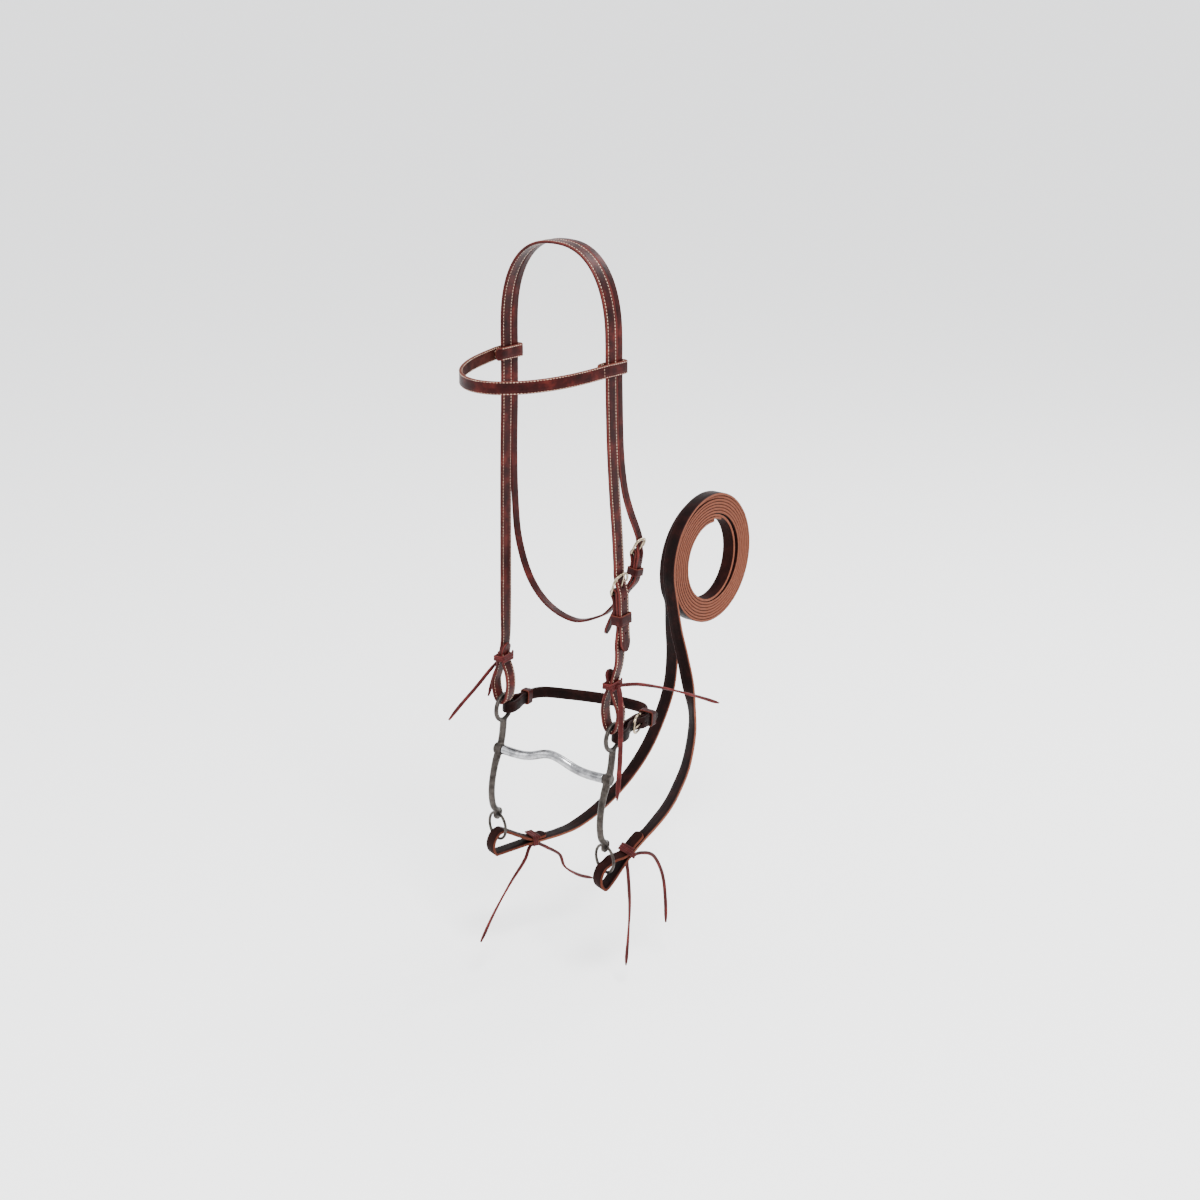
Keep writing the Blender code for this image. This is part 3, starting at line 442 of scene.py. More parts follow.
GRAIN = grain_leather(
    "latigo_grain", (0.0050, 0.0008, 0.0008), (0.0230, 0.0025, 0.0024), (0.0800, 0.0110, 0.0080)
)
EDGE = cut_leather("latigo_edge", (0.018, 0.0034, 0.0022), (0.130, 0.036, 0.020))
FLESH = flesh_leather("latigo_flesh", (0.0090, 0.0018, 0.0014), (0.042, 0.0085, 0.0055))
REIN_GRAIN = grain_leather(
    "rein_grain", (0.0016, 0.0004, 0.0003), (0.0048, 0.0009, 0.0007), (0.0170, 0.0032, 0.0023),
    (0.34, 0.56), 0.04,
)
REIN_EDGE = cut_leather("rein_edge", (0.060, 0.0165, 0.0100), (0.220, 0.078, 0.045))
REIN_FLESH = flesh_leather("rein_flesh", (0.0040, 0.0008, 0.0006), (0.0160, 0.0032, 0.0022))
LACE = grain_leather(
    "lace_leather", (0.0090, 0.0014, 0.0015), (0.038, 0.0046, 0.0048), (0.120, 0.0190, 0.0170),
    (0.42, 0.62), 0.07,
)
LATIGO = [GRAIN, EDGE, FLESH]
DARK_LATIGO = [REIN_GRAIN, EDGE, REIN_FLESH]
THREAD = thread("waxed_thread", (0.20, 0.11, 0.075), (0.56, 0.40, 0.29))
NICKEL = metal("nickel_plate", (0.13, 0.095, 0.058), (0.44, 0.36, 0.25), (0.20, 0.38), 220.0, 0.00005)
DARK_STEEL = metal(
    "browned_steel", (0.022, 0.018, 0.016), (0.066, 0.057, 0.051), (0.34, 0.55), 160.0, 0.00012
)
STAINLESS = metal(
    "polished_steel", (0.12, 0.12, 0.125), (0.40, 0.40, 0.41), (0.10, 0.20), 90.0, 0.00003, spots=0.12
)


# ---------------------------------------------------------------- routes


def spline_point(points, place):
    """The point at `place`, 0 to len - 1, on the Catmull-Rom curve through `points`."""
    last = len(points) - 1
    index = min(int(place), last - 1)
    along = place - index
    start, end = points[index], points[index + 1]
    before = points[index - 1] if index > 0 else 2 * start - end
    after = points[index + 2] if index + 2 <= last else 2 * end - start
    return 0.5 * (
        2 * start
        + (end - before) * along
        + (2 * before - 5 * start + 4 * end - after) * along**2
        + (3 * (start - end) + after - before) * along**3
    )


def even_places(points, count):
    """The places that cut the curve's length, plus BEND_LENGTH a radian of bend, into equal parts."""
    fine = [n / FINENESS for n in range(FINENESS * (len(points) - 1) + 1)]
    spots = [spline_point(points, place) for place in fine]
    steps = [high - low for low, high in zip(spots, spots[1:])]
    reach = [0.0]
    for before, step in zip(steps[:1] + steps, steps):
        reach.append(reach[-1] + step.length + BEND_LENGTH * step.angle(before))
    places = []
    n = 0
    for k in range(count + 1):
        want = reach[-1] * k / count
        while n < len(reach) - 2 and reach[n + 1] < want:
            n += 1
        part = (want - reach[n]) / (reach[n + 1] - reach[n])
        places.append(fine[n] + min(part, 1.0) / FINENESS)
    return places


class Row:
    """One cross-section of a strap: its centre, width and thickness directions, and distance along."""

    def __init__(self, centre, side, normal, reach, scale=1.0):
        self.centre, self.side, self.normal = centre, side, normal
        self.reach, self.scale = reach, scale

    def at(self, across, out=0.0):
        return self.centre + self.side * across + self.normal * out


def strap_rows(points, sides, count, flip=False):
    """The rows of a strap along the curve through `points`; its grain side faces side x ahead."""
    points = [Vector(p) for p in points]
    sides = [Vector(s) for s in sides]
    if len(sides) == 1:
        sides = sides * len(points)
    rows = []
    reach = 0.0
    for place in even_places(points, count):
        low = max(place - AHEAD_STEP, 0.0)
        high = min(place + AHEAD_STEP, len(points) - 1.0)
        ahead = (spline_point(points, high) - spline_point(points, low)).normalized()
        side = spline_point(sides, place)
        side = (side - side.dot(ahead) * ahead).normalized()
        centre = spline_point(points, place)
        if rows:
            reach += (centre - rows[-1].centre).length
        normal = side.cross(ahead)
        rows.append(Row(centre, side, -normal if flip else normal, reach))
    return rows


def rounded_tips(rows, start=0.0, end=0.0):
    """Narrows the rows near the ends to round off the strap's tips."""
    whole = rows[-1].reach
    for row in rows:
        for room, gone in ((start, row.reach), (end, whole - row.reach)):
            if room and gone < room:
                part = 1 - gone / room
                row.scale = min(row.scale, max(0.30, math.sqrt(max(0.0, 1 - part * part))))
    return rows


# ---------------------------------------------------------------- mesh building


def angles(count):
    """The angles that divide a full turn into `count` parts."""
    return [2 * math.pi * step / count for step in range(count)]


def half_turn(count):
    """The angles from 0 to half a turn, in `count` equal steps."""
    return [math.pi * step / count for step in range(count + 1)]


def signed_power(value, power):
    """`value` raised to a power, with its sign kept."""
    return math.copysign(abs(value) ** power, value)


def dressed(mesh, surfaces):
    """Gives a mesh its materials and smooth shading."""
    for surface in surfaces:
        mesh.materials.append(surface)
    for face in mesh.polygons:
        face.use_smooth = True
    return mesh


def finished(name, work, surfaces):
    """A new object of the faces in `work`, all turned outwards."""
    bmesh.ops.recalc_face_normals(work, faces=work.faces)
    return placed(name, dressed(meshed(name, work), surfaces))


def bridged(work, low, high):
    """The faces from one ring of corners to the next."""
    count = len(low)
    return [
        work.faces.new((low[k], low[(k + 1) % count], high[(k + 1) % count], high[k]))
        for k in range(count)
    ]


def capped(work, rings):
    """The faces that close the first and the last ring."""
    return work.faces.new(list(reversed(rings[0]))), work.faces.new(rings[-1])


def strap_profile(width, thick, groove):
    """A strap's outline: (across, out, material, edge rubbing and painted highlight) with rounded edges
    and two creased lines.
    """
    round_off = thick * 0.36
    half, top = width / 2, thick / 2
    outline = []
    for step in range(5):
        turn = math.radians(22.5 * step)
        rim = 0 if step >= 2 else 1
        outline.append((
            half - round_off + round_off * math.cos(turn),
            top - round_off + round_off * math.sin(turn),
            rim,
            # The rounded top edge gets the most lightening: worn dye and a painted highlight.
            0.9 if 1 <= step <= 3 else 0.3,
        ))
    outline += [
        (half - groove + GROOVE_HALF, top, 0, 0.15),
        (half - groove, top - GROOVE_DEPTH, 0, 0.0),
        (half - groove - GROOVE_HALF, top, 0, 0.1),
        (half * 0.35, top, 0, 0.0),
        (0.0, top, 0, 0.0),
    ]
    mirrored = [(-a, n, m, w) for a, n, m, w in reversed(outline[:-1])]
    upper = outline + mirrored
    lower = []
    for step in range(4):
        turn = math.radians(180 + 30 * step)
        lower.append((
            -(half - round_off) + round_off * math.cos(turn),
            -(top - round_off) + round_off * math.sin(turn),
            1 if step < 2 else 2,
            0.2,
        ))
    lower.append((-half * 0.4, -top, 2, 0.0))
    lower.append((half * 0.4, -top, 2, 0.0))
    right = [(-a, n, 2 if index < 1 else 1, w) for index, (a, n, m, w) in enumerate(reversed(lower[:4]))]
    outline = upper + lower + right
    count = len(upper)
    outline[count - 1] = (*outline[count - 1][:2], 1, 0.3)
    return outline


def sweep(name, rows, profile, surfaces, closed=False, waver=0.0):
    """A solid swept along `rows`, with UVs in metres and at each corner a value for edge rubbing and
    painted highlight.
    """
    random.seed(name)
    work = bmesh.new()
    uv = work.loops.layers.uv.new("UVMap")
    # Per-corner amount of worn edge and painted highlight, read by the grain material.
    wear_and_sheen = work.verts.layers.float.new("wear_and_sheen")
    around = [0.0]
    for low, high in zip(profile, profile[1:] + profile[:1]):
        around.append(around[-1] + math.hypot(high[0] - low[0], high[1] - low[1]))
    rings = []
    drift = 0.0
    for row in rows:
        drift = 0.9 * drift + random.uniform(-1, 1) * waver
        ring = []
        for across, out, _, rubbed_and_sheen in profile:
            vert = work.verts.new(row.at(across * row.scale + drift, out))
            vert[wear_and_sheen] = rubbed_and_sheen
            ring.append(vert)
        rings.append(ring)
    pairs = list(zip(range(len(rows) - 1), range(1, len(rows))))
    if closed:
        pairs.append((len(rows) - 1, 0))
    for low, high in pairs:
        near, far = rows[low].reach, rows[high].reach
        if far < near:
            far = near + (rows[high].centre - rows[low].centre).length
        for k, face in enumerate(bridged(work, rings[low], rings[high])):
            face.material_index = profile[k][2]
            places = ((near, around[k]), (near, around[k + 1]), (far, around[k + 1]), (far, around[k]))
            for loop, where in zip(face.loops, places):
                loop[uv].uv = where
    if not closed:
        for face, row in zip(capped(work, rings), (rows[0], rows[-1])):
            face.material_index = min(1, len(surfaces) - 1)
            for loop in face.loops:
                offset = loop.vert.co - row.centre
                loop[uv].uv = (offset.dot(row.side), offset.dot(row.normal))
    return finished(name, work, surfaces)


def stitch(work, middle, ahead, side, out, length):
    """One stitch: a short rounded bead."""
    rings = []
    for step, size in STITCH_SHAPE:
        ring = []
        for turn in angles(6):
            ring.append(work.verts.new(
                middle
                + ahead * (step * length / 2)
                + side * (math.cos(turn) * STITCH_HALF_WIDTH * size)
                + out * (math.sin(turn) * STITCH_HEIGHT * size)
            ))
        rings.append(ring)
    for low, high in zip(rings, rings[1:]):
        bridged(work, low, high)
    capped(work, rings)


def stitched(name, body, rows, offsets, start, end, pitch=STITCH_PITCH):
    """Rows of thread stitches on both faces of a strap, each half sunk in the leather."""
    work = bmesh.new()
    index = 0
    reach = start + pitch / 2
    while reach < rows[-1].reach - end:
        while index < len(rows) - 2 and rows[index + 1].reach < reach:
            index += 1
        low, high = rows[index], rows[index + 1]
        part = (reach - low.reach) / max(high.reach - low.reach, 1e-9)
        centre = low.centre.lerp(high.centre, part)
        ahead = (high.centre - low.centre).normalized()
        for offset in offsets:
            for out in (low.normal, -low.normal):
                middle = centre + low.side * offset + out * (STRAP_THICK / 2 - STITCH_SUNK)
                stitch(work, middle, ahead, low.side, out, pitch * STITCH_PART)
        reach += pitch
    made = finished(name, work, [THREAD])
    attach(made, body)


def round_wire(name, points, radius, surface, sides, closed=False, taper=None):
    """A round wire or bar swept along points, with a radius that may change along it."""
    points = [Vector(p) for p in points]
    work = bmesh.new()
    uv = work.loops.layers.uv.new("UVMap")
    count = len(points)
    normal = None
    rings = []
    for k, point in enumerate(points):
        before = points[k - 1] if k or closed else points[0]
        after = points[(k + 1) % count] if k < count - 1 or closed else points[-1]
        ahead = (after - before).normalized()
        if normal is None:
            normal = ahead.orthogonal().normalized()
        normal = (normal - normal.dot(ahead) * ahead).normalized()
        other = ahead.cross(normal)
        size = radius * (taper(k / (count - 1)) if taper else 1.0)
        ring = []
        for turn in angles(sides):
            ring.append(work.verts.new(
                point + normal * (size * math.cos(turn)) + other * (size * math.sin(turn))
            ))
        rings.append(ring)
    pairs = list(zip(rings, rings[1:]))
    if closed:
        first = rings[0]
        start = min(range(sides), key=lambda s: (rings[-1][0].co - first[s].co).length)
        pairs.append((rings[-1], first[start:] + first[:start]))
    for low, high in pairs:
        for face in bridged(work, low, high):
            for loop in face.loops:
                loop[uv].uv = (loop.vert.co.z, loop.vert.co.y)
    if not closed:
        capped(work, rings)
    return finished(name, work, [surface])


def applied(made):
    """The object's modifiers made final; its materials stay."""
    surfaces = list(made.data.materials)
    bpy.context.view_layer.update()
    evaluated = made.evaluated_get(bpy.context.evaluated_depsgraph_get())
    mesh = bpy.data.meshes.new_from_object(evaluated)
    made.modifiers.clear()
    made.data = mesh
    mesh.materials.clear()
    dressed(mesh, surfaces)


def fused(name, pieces, voxel, surface, smooth):
    """Several meshes fused by voxels into one casting with soft fillets."""
    work = bmesh.new()
    for piece in pieces:
        work.from_mesh(piece.data)
        bpy.data.objects.remove(piece, do_unlink=True)
    made = placed(name, dressed(meshed(name, work), [surface]))
    remesh = made.modifiers.new("fuse", "REMESH")
    remesh.mode = "VOXEL"
    remesh.voxel_size = voxel
    soften = made.modifiers.new("soften", "SMOOTH")
    soften.factor = 0.5
    soften.iterations = smooth
    applied(made)
    return made


def rod(start, end, radius, sides=24):
    """A closed cylinder between two points, as a helper object."""
    work = bmesh.new()
    turn = (end - start).to_track_quat("Z", "Y").to_matrix().to_4x4()
    bmesh.ops.create_cone(
        work,
        cap_ends=True,
        segments=sides,
        radius1=radius,
        radius2=radius,
        depth=(end - start).length,
        matrix=Matrix.Translation((start + end) / 2) @ turn,
    )
    return placed("rod", meshed("rod", work))


def cut(made, cutters):
    """Cuts the helpers out of a piece with exact Booleans, then removes them."""
    for cutter in cutters:
        change = made.modifiers.new("cut", "BOOLEAN")
        change.operation = "DIFFERENCE"
        change.solver = "EXACT"
        change.object = cutter
    applied(made)
    for cutter in cutters:
        bpy.data.objects.remove(cutter, do_unlink=True)


# ---------------------------------------------------------------- the bit's own axes

BIT_FRAME = Matrix.Translation(BIT_CENTRE) @ Euler((0.0, BIT_ROLL, BIT_YAW)).to_matrix().to_4x4()
BIT_REAR = (BIT_FRAME.to_3x3() @ Vector((0, 1, 0))).normalized()
BIT_OUT = (BIT_FRAME.to_3x3() @ Vector((1, 0, 0))).normalized()
BIT_UP = (BIT_FRAME.to_3x3() @ Vector((0, 0, 1))).normalized()
PLUMB = Matrix.Rotation(BIT_YAW, 3, "Z")


def on_bit(x, y, z):
    """A point given in the bit's own frame: x along the swing axis, y to the rear, z up."""
    return BIT_FRAME @ Vector((x, y, z))


def over_ring(side, x, y, z):
    """A point given from the centre of one of the bit's upper rings, in upright axes."""
    return on_bit(BIT_HALF * side, 0, 0) + PLUMB @ Vector((x * side, y * side, z))


# ---------------------------------------------------------------- buckles


class Buckle:
    """A horseshoe buckle's own frame: u from bar to end bar, v across the strap, w outwards."""

    def __init__(self, name, body, tongue_body, bar, along, outward, width, length, rise):
        self.name, self.body, self.tongue_body = name, body, tongue_body
        self.u = Vector(along).normalized()
        self.w = (Vector(outward) - Vector(outward).dot(self.u) * self.u).normalized()
        self.v = self.w.cross(self.u)
        self.bar = Vector(bar)
        self.half = width / 2
        self.length = length
        self.rise = rise

    def at(self, u, v, w):
        return self.bar + self.u * u + self.v * v + self.w * w

    def line(self, *spots):
        """Points over the strap's middle line, each given as (u, w)."""
        return [self.at(u, 0, w) for u, w in spots]

    def frame(self):
        """The cast frame: a thin bar, and a heavier rounded end that rises outwards."""
        spots = []
        for turn in half_turn(44):
            reach = BOW_START
            if 0 < turn < math.pi:
                reach = self.length * (0.45 + 0.55 * math.sin(turn))
            side = self.half * 1.06 * signed_power(math.cos(turn), 0.6)
            spots.append(self.at(reach, side, self.rise * reach / self.length))
        control = [spots[0], *spots[4:-4:4], spots[-1]]
        arc = [spline_point(control, place) for place in even_places(control, 48)]
        bow = round_wire(
            self.name + "_bow", arc, BAR_RADIUS * 1.12, NICKEL, sides=16,
            taper=lambda part: 0.86 + 0.24 * math.sin(math.pi * part),
        )
        ends = (self.at(BAR_PLACE, -self.half, 0), self.at(BAR_PLACE, self.half, 0))
        bar = rod(*ends, BAR_RADIUS * 0.98)
        made = fused(self.name + "_frame_cast", [bow, bar], BUCKLE_VOXEL, NICKEL, 4)
        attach(made, self.body)
        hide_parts(self.name + "_frame")

    def tongue_line(self):
        """Where the tongue leaves its eye, and where it rests on the end bar."""
        tip = self.at(self.length + 0.0012, 0, self.rise + BAR_RADIUS + TONGUE_RADIUS + 0.0011)
        eye = BAR_RADIUS + TONGUE_RADIUS + GAP
        lean = math.atan2(self.rise + eye, self.length)
        start = self.at(-eye * math.sin(lean), 0, eye * math.cos(lean))
        return start, tip, eye, lean

    def tongue(self):
        """The tongue: a wire rolled round the bar that tapers a little to its tip."""
        start, tip, eye, lean = self.tongue_line()
        spots = [tip, tip.lerp(start, 0.25), tip.lerp(start, 0.5), tip.lerp(start, 0.75), start]
        for step in range(1, 19):
            turn = math.pi / 2 + lean + math.radians(15.5 * step)
            spots.append(self.at(eye * math.cos(turn), 0, eye * math.sin(turn)))
        made = round_wire(
            self.name + "_tongue_wire", spots, TONGUE_RADIUS, NICKEL, sides=14,
            taper=lambda part: 0.82 + 0.18 * min(1.0, part * 3),
        )
        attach(made, self.tongue_body)
        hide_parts(self.name + "_tongue")

    def pierce(self):
        """The hole in the strap that the tongue goes through, long enough for the tongue's travel."""
        start, tip, _, _ = self.tongue_line()
        rods = []
        for turn in (0.0, TONGUE_TRAVEL * 0.52, TONGUE_TRAVEL):
            swing = Matrix.Rotation(-turn, 3, self.v)
            low = self.bar + swing @ (start - self.bar)
            high = self.bar + swing @ (tip - self.bar)
            rods.append(rod(low, high, TONGUE_HOLE, 16))
        return rods

    def slot(self):
        """The slot in the fold round the bar, where the tongue's eye sits and swings."""
        return [rod(self.at(0, -TONGUE_HOLE, 0), self.at(0, TONGUE_HOLE, 0), BAR_RADIUS + 0.0075)]


CHEEK_BUCKLE = Buckle(
    "cheek_buckle", "headstall", "cheek_tongue",
    (0.0668, 0.0148, -0.3570), (0, -0.06, 1), (1, 0, 0), 0.0220, 0.0205, 0.0070,
)
THROAT_BUCKLE = Buckle(
    "throatlatch_buckle", "headstall", "throatlatch_tongue",
    (0.0700, 0.0405, -0.3200), (0.12, 0.10, 1), (1, 0, 0), 0.0150, 0.0165, 0.0056,
)
CURB_BUCKLE = Buckle(
    "curb_buckle", "curb", "curb_tongue",
    on_bit(0.0710, 0.0540, 0.0005), -BIT_REAR, BIT_OUT, 0.0184, 0.0180, 0.0034,
)
FOLD_SPREAD = BAR_RADIUS + FOLD_ROOM + STRAP_THICK / 2
TAIL_OVER_FOLD = FOLD_SPREAD + STRAP_THICK + 2 * GAP
THROAT_SPREAD = BAR_RADIUS + FOLD_ROOM + THROAT_THICK / 2
THROAT_OVER = THROAT_SPREAD + THROAT_THICK + 2 * GAP


def fold_points(buckle, thickness, inner_tail, outer_tail):
    """The fold of a strap round the buckle's bar, from the inner ply's end to the outer ply."""
    spread = BAR_RADIUS + FOLD_ROOM + thickness / 2
    inner = spread - thickness - 2 * GAP
    spots = [
        (-inner_tail, inner), (-0.0130, inner), (-0.0080, inner - 0.0004),
        (-0.0046, (inner - spread) * 0.5), (-0.0024, inner * 0.25 - spread * 0.78),
    ]
    for step in range(7):
        turn = math.radians(-90 + 30 * step)
        spots.append((spread * math.cos(turn), spread * math.sin(turn)))
    spots += [(-0.0030, spread), (-0.0080, spread), (-outer_tail, spread)]
    return buckle.line(*spots)


# ---------------------------------------------------------------- reins, the long cords


def in_loop(side, y, z):
    """A point in a rein loop's plane: y along the loop and z up, from the middle of its ring."""
    return on_bit(BIT_HALF * side, SHANK_END_Y, REIN_RING_Z) + LOOP_AHEAD * y + UPWARD * z


def rein_points(side):
    """Each rein from its tie to the coil, as its solids run."""
    if side == FAR:
        return [
            in_loop(FAR, 0.0430, -0.0292), in_loop(FAR, 0.0506, -0.0292),
            (-0.0546, 0.0401, -0.6785), (-0.0494, 0.0560, -0.6779), (-0.0455, 0.0820, -0.6763),
            (-0.0396, 0.1204, -0.6643), (-0.0332, 0.1590, -0.6417), (-0.0265, 0.1882, -0.6119),
            (-0.0214, 0.2090, -0.5761), (-0.0166, 0.2195, -0.5407), (-0.0134, 0.2201, -0.5026),
            (-0.0100, 0.2130, -0.4650),
        ]
    return [
        in_loop(NEAR, 0.0285, -0.0028), in_loop(NEAR, 0.0360, 0.0045),
        (0.0793, 0.0414, -0.6421), (0.0830, 0.0526, -0.6341), (0.0799, 0.0852, -0.6227),
        (0.0750, 0.1100, -0.6110), (0.0666, 0.1398, -0.5930), (0.0564, 0.1642, -0.5678),
        (0.0466, 0.1781, -0.5440), (0.0335, 0.1870, -0.5165), (0.0216, 0.1924, -0.4884),
        (0.0110, 0.1950, -0.4600),
    ]


def coil_points(first_angle, outer, lift, loose=0.0):
    """The rolled stretch: a flat spiral that goes up at the front and winds inwards.

    The last turn can stand loose of the others along the rear of the hole.
    """
    spots = []
    for step in range(int(COIL_TURNS * COIL_STEPS) + 1):
        turn = 2 * math.pi * step / COIL_STEPS
        radius = outer - LAYER_PITCH * turn / math.pi
        from_rear = (turn - LOOSE_AT) / LOOSE_SPAN
        if abs(from_rear) < 1:
            radius -= loose * math.cos(from_rear * math.pi / 2) ** 2
        angle = math.radians(first_angle) + turn
        ease = min(1.0, step / COIL_EASE)
        spot = Vector((lift * (1 - ease), -radius * math.cos(angle), radius * math.sin(angle)))
        spots.append(COIL_CENTRE + spot)
    return spots


def rein(side):
    """One rein: its free run from the bit's ring, and its turns in the coil."""
    name = SIDE_NAMES[side] + "_rein"
    run = [Vector(p) for p in rein_points(side)]
    if side == NEAR:
        turns = coil_points(NEAR_ENTRY, COIL_OUTER - REIN_THICK / 2, NEAR_LIFT)
        sides = [LOOP_ACROSS] * 3 + [TWISTED] * 6 + [ACROSS] * (len(run) - 9 + len(turns))
    else:
        inside = LAYER_PITCH * (1 - 2 * (NEAR_ENTRY - FAR_ENTRY) / 360)
        turns = coil_points(FAR_ENTRY, COIL_OUTER - REIN_THICK / 2 - inside, FAR_LIFT, LOOSE_BY)
        sides = [LOOP_ACROSS] * 4 + [ACROSS] * (len(run) - 4 + len(turns))
    route = run + turns
    rows = rounded_tips(strap_rows(route, sides, 760), end=0.010)
    profile = strap_profile(STRAP_WIDTH, REIN_THICK, REIN_GROOVE)
    made = sweep(name, rows, profile, [REIN_GRAIN, REIN_EDGE, REIN_FLESH])
    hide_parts(*((name + "_run", "rein_coil") if side == FAR else (name + "_run",)))
    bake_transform(made)


rein(NEAR)
rein(FAR)


# ---------------------------------------------------------------- laces, the short cords


def over_plane(outward, across):
    """Unit directions of a band round a strap: across it, outwards from it and along it."""
    across, outward = Vector(across).normalized(), Vector(outward).normalized()
    outward = (outward - outward.dot(across) * across).normalized()
    return across, outward, across.cross(outward).normalized()


# Each tie: centre, across, outward, hole, the body it rides and the side its knot is on
TIES = {
    "near_cheek_tie": (
        over_ring(NEAR, -0.0016, 0.001, TIE_HEIGHT), BIT_REAR, BIT_OUT, CHEEK_TIE_HOLE, "headstall", 1
    ),
    "far_cheek_tie": (
        over_ring(FAR, -0.0016, 0.001, TIE_HEIGHT), BIT_REAR, BIT_OUT, CHEEK_TIE_HOLE, "headstall", -1
    ),
    "near_rein_tie": (
        in_loop(NEAR, 0.0301, 0.0017), LOOP_ACROSS, UPWARD - 0.93 * LOOP_AHEAD,
        REIN_TIE_HOLE, "bit", -1
    ),
    "far_rein_tie": (
        in_loop(FAR, 0.0447, -0.0270), LOOP_ACROSS, UPWARD, REIN_TIE_HOLE, "bit", -1
    ),
}


def knot_centre(tie_name):
    """The middle of a tie's knot, just off its band."""
    centre, across, outward, hole, _, way = TIES[tie_name]
    _, outward, _ = over_plane(outward, across)
    return centre + outward * (way * (hole[1] / 2 + TIE_WALL * 0.9))


LACES = {
    "far_cheek_lace_long": (
        (-0.0775, -0.0130, -0.4590), (-0.0820, -0.0200, -0.4680), (-0.0910, -0.0330, -0.4860),
        (-0.1020, -0.0470, -0.5060), (-0.1100, -0.0569, -0.5216),
    ),
    "far_cheek_lace_short": (
        (-0.0790, -0.0060, -0.4600), (-0.0830, -0.0080, -0.4700), (-0.0860, -0.0120, -0.4850),
        (-0.0875, -0.0170, -0.5000),
    ),
    "near_cheek_lace_side": (
        (0.0790, 0.0140, -0.4570), (0.0850, 0.0300, -0.4600), (0.0960, 0.0580, -0.4700),
        (0.1080, 0.0920, -0.4850), (0.1200, 0.1256, -0.5016),
    ),
    "near_cheek_lace_hanging": (
        (0.0795, 0.0030, -0.4640), (0.0840, -0.0013, -0.4787), (0.0860, -0.0040, -0.5077),
        (0.0860, -0.0056, -0.5413), (0.0850, -0.0086, -0.5801),
    ),
    "far_rein_lace_front": (
        (-0.0610, 0.0177, -0.6873), (-0.0610, 0.0087, -0.7002), (-0.0610, -0.0151, -0.7181),
        (-0.0610, -0.0430, -0.7439), (-0.0610, -0.0665, -0.7709),
    ),
    "far_rein_lace_rear": (
        (-0.0611, 0.0337, -0.6873), (-0.0611, 0.0496, -0.6983), (-0.0612, 0.0716, -0.7152),
        (-0.0612, 0.0811, -0.7342), (-0.0613, 0.1066, -0.7541), (-0.0614, 0.1327, -0.7681),
    ),
    "near_rein_lace_hanging": (
        (0.0743, 0.0231, -0.6649), (0.0753, 0.0242, -0.6858), (0.0757, 0.0262, -0.7207),
        (0.0752, 0.0243, -0.7576), (0.0742, 0.0218, -0.7913),
    ),
    "near_rein_lace_rear": (
        (0.0743, 0.0331, -0.6619), (0.0753, 0.0491, -0.6649), (0.0757, 0.0691, -0.6759),
        (0.0752, 0.0861, -0.7038), (0.0746, 0.0931, -0.7357), (0.0741, 0.0953, -0.7678),
    ),
}


def strip_profile(width, thick):
    """A cut lace's outline: a rectangle with rounded edges."""
    outline = []
    for step, turn in enumerate(angles(12)):
        outline.append((
            width / 2 * signed_power(math.cos(turn), 0.6),
            thick / 2 * signed_power(math.sin(turn), 0.6),
            0,
            # The lace's sides are lighter: worn dye and a painted highlight.
            0.5 if step in (0, 1, 5, 6, 7, 11) else 0.1,
        ))
    return outline


def lace(name, points):
    """A lace's free end: a narrow strip that twists a little and is cut to a point."""
    random.seed(name)
    tie_name = name.split("_lace_")[0] + "_tie"
    *_, body, _ = TIES[tie_name]
    points = [knot_centre(tie_name), *(Vector(p) for p in points)]
    phase = random.uniform(0, math.pi)
    rate = random.uniform(0.5, 1.0)
    width, sides = WIDE_LACE_WIDTH, [WIDE_LACE_SIDE]
    if name not in WIDE_LACES:
        width = LACE_WIDTH
        ahead = (points[-1] - points[0]).normalized()
        first = ahead.orthogonal().normalized()
        sides = [Matrix.Rotation(phase + rate * k, 3, ahead) @ first for k in range(len(points))]
    rows = rounded_tips(strap_rows(points, sides, 60), end=3.6 * width)
    profile = strip_profile(width, LACE_WIDTH * 0.62)
    made = sweep(name + "_strip", rows, profile, [LACE], waver=0.00006)
    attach(made, body)
    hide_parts(name)


for lace_name, lace_points in LACES.items():
    lace(lace_name, lace_points)


# ---------------------------------------------------------------- headstall


def nearest_reach(rows, spot):
    """How far along the strap the row nearest to a point lies."""
    return min(rows, key=lambda row: (row.centre - spot).length).reach


def punches(rows, buckled, step, counts, radius):
    """Rods that punch round holes, `counts` steps along the strap from the buckled hole."""
    start = nearest_reach(rows, buckled)
    rods = []
    for count in counts:
        reach = start + step * count
        row = min(rows, key=lambda r: abs(r.reach - reach))
        rods.append(rod(row.at(0, -HOLE_REACH), row.at(0, HOLE_REACH), radius, 16))
    return rods


def leather(name, rows, width, thick, groove=GROOVE, surfaces=LATIGO):
    """A latigo strap that takes the place of the solid with its name."""
    made = sweep(name + "_leather", rows, strap_profile(width, thick, groove), surfaces)
    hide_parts(name)
    return made


def arch(y, lift):
    """The route over the poll in the X-Z plane, from the near side to the far side."""
    spots = []
    for turn in half_turn(18):
        x = CHEEK_X * signed_power(math.cos(turn), 2 / ARCH_POWER)
        z = ARCH_DROP * (math.sin(turn) ** (2 / ARCH_POWER) - 1) + lift
        spots.append((x, y, z))
    return spots


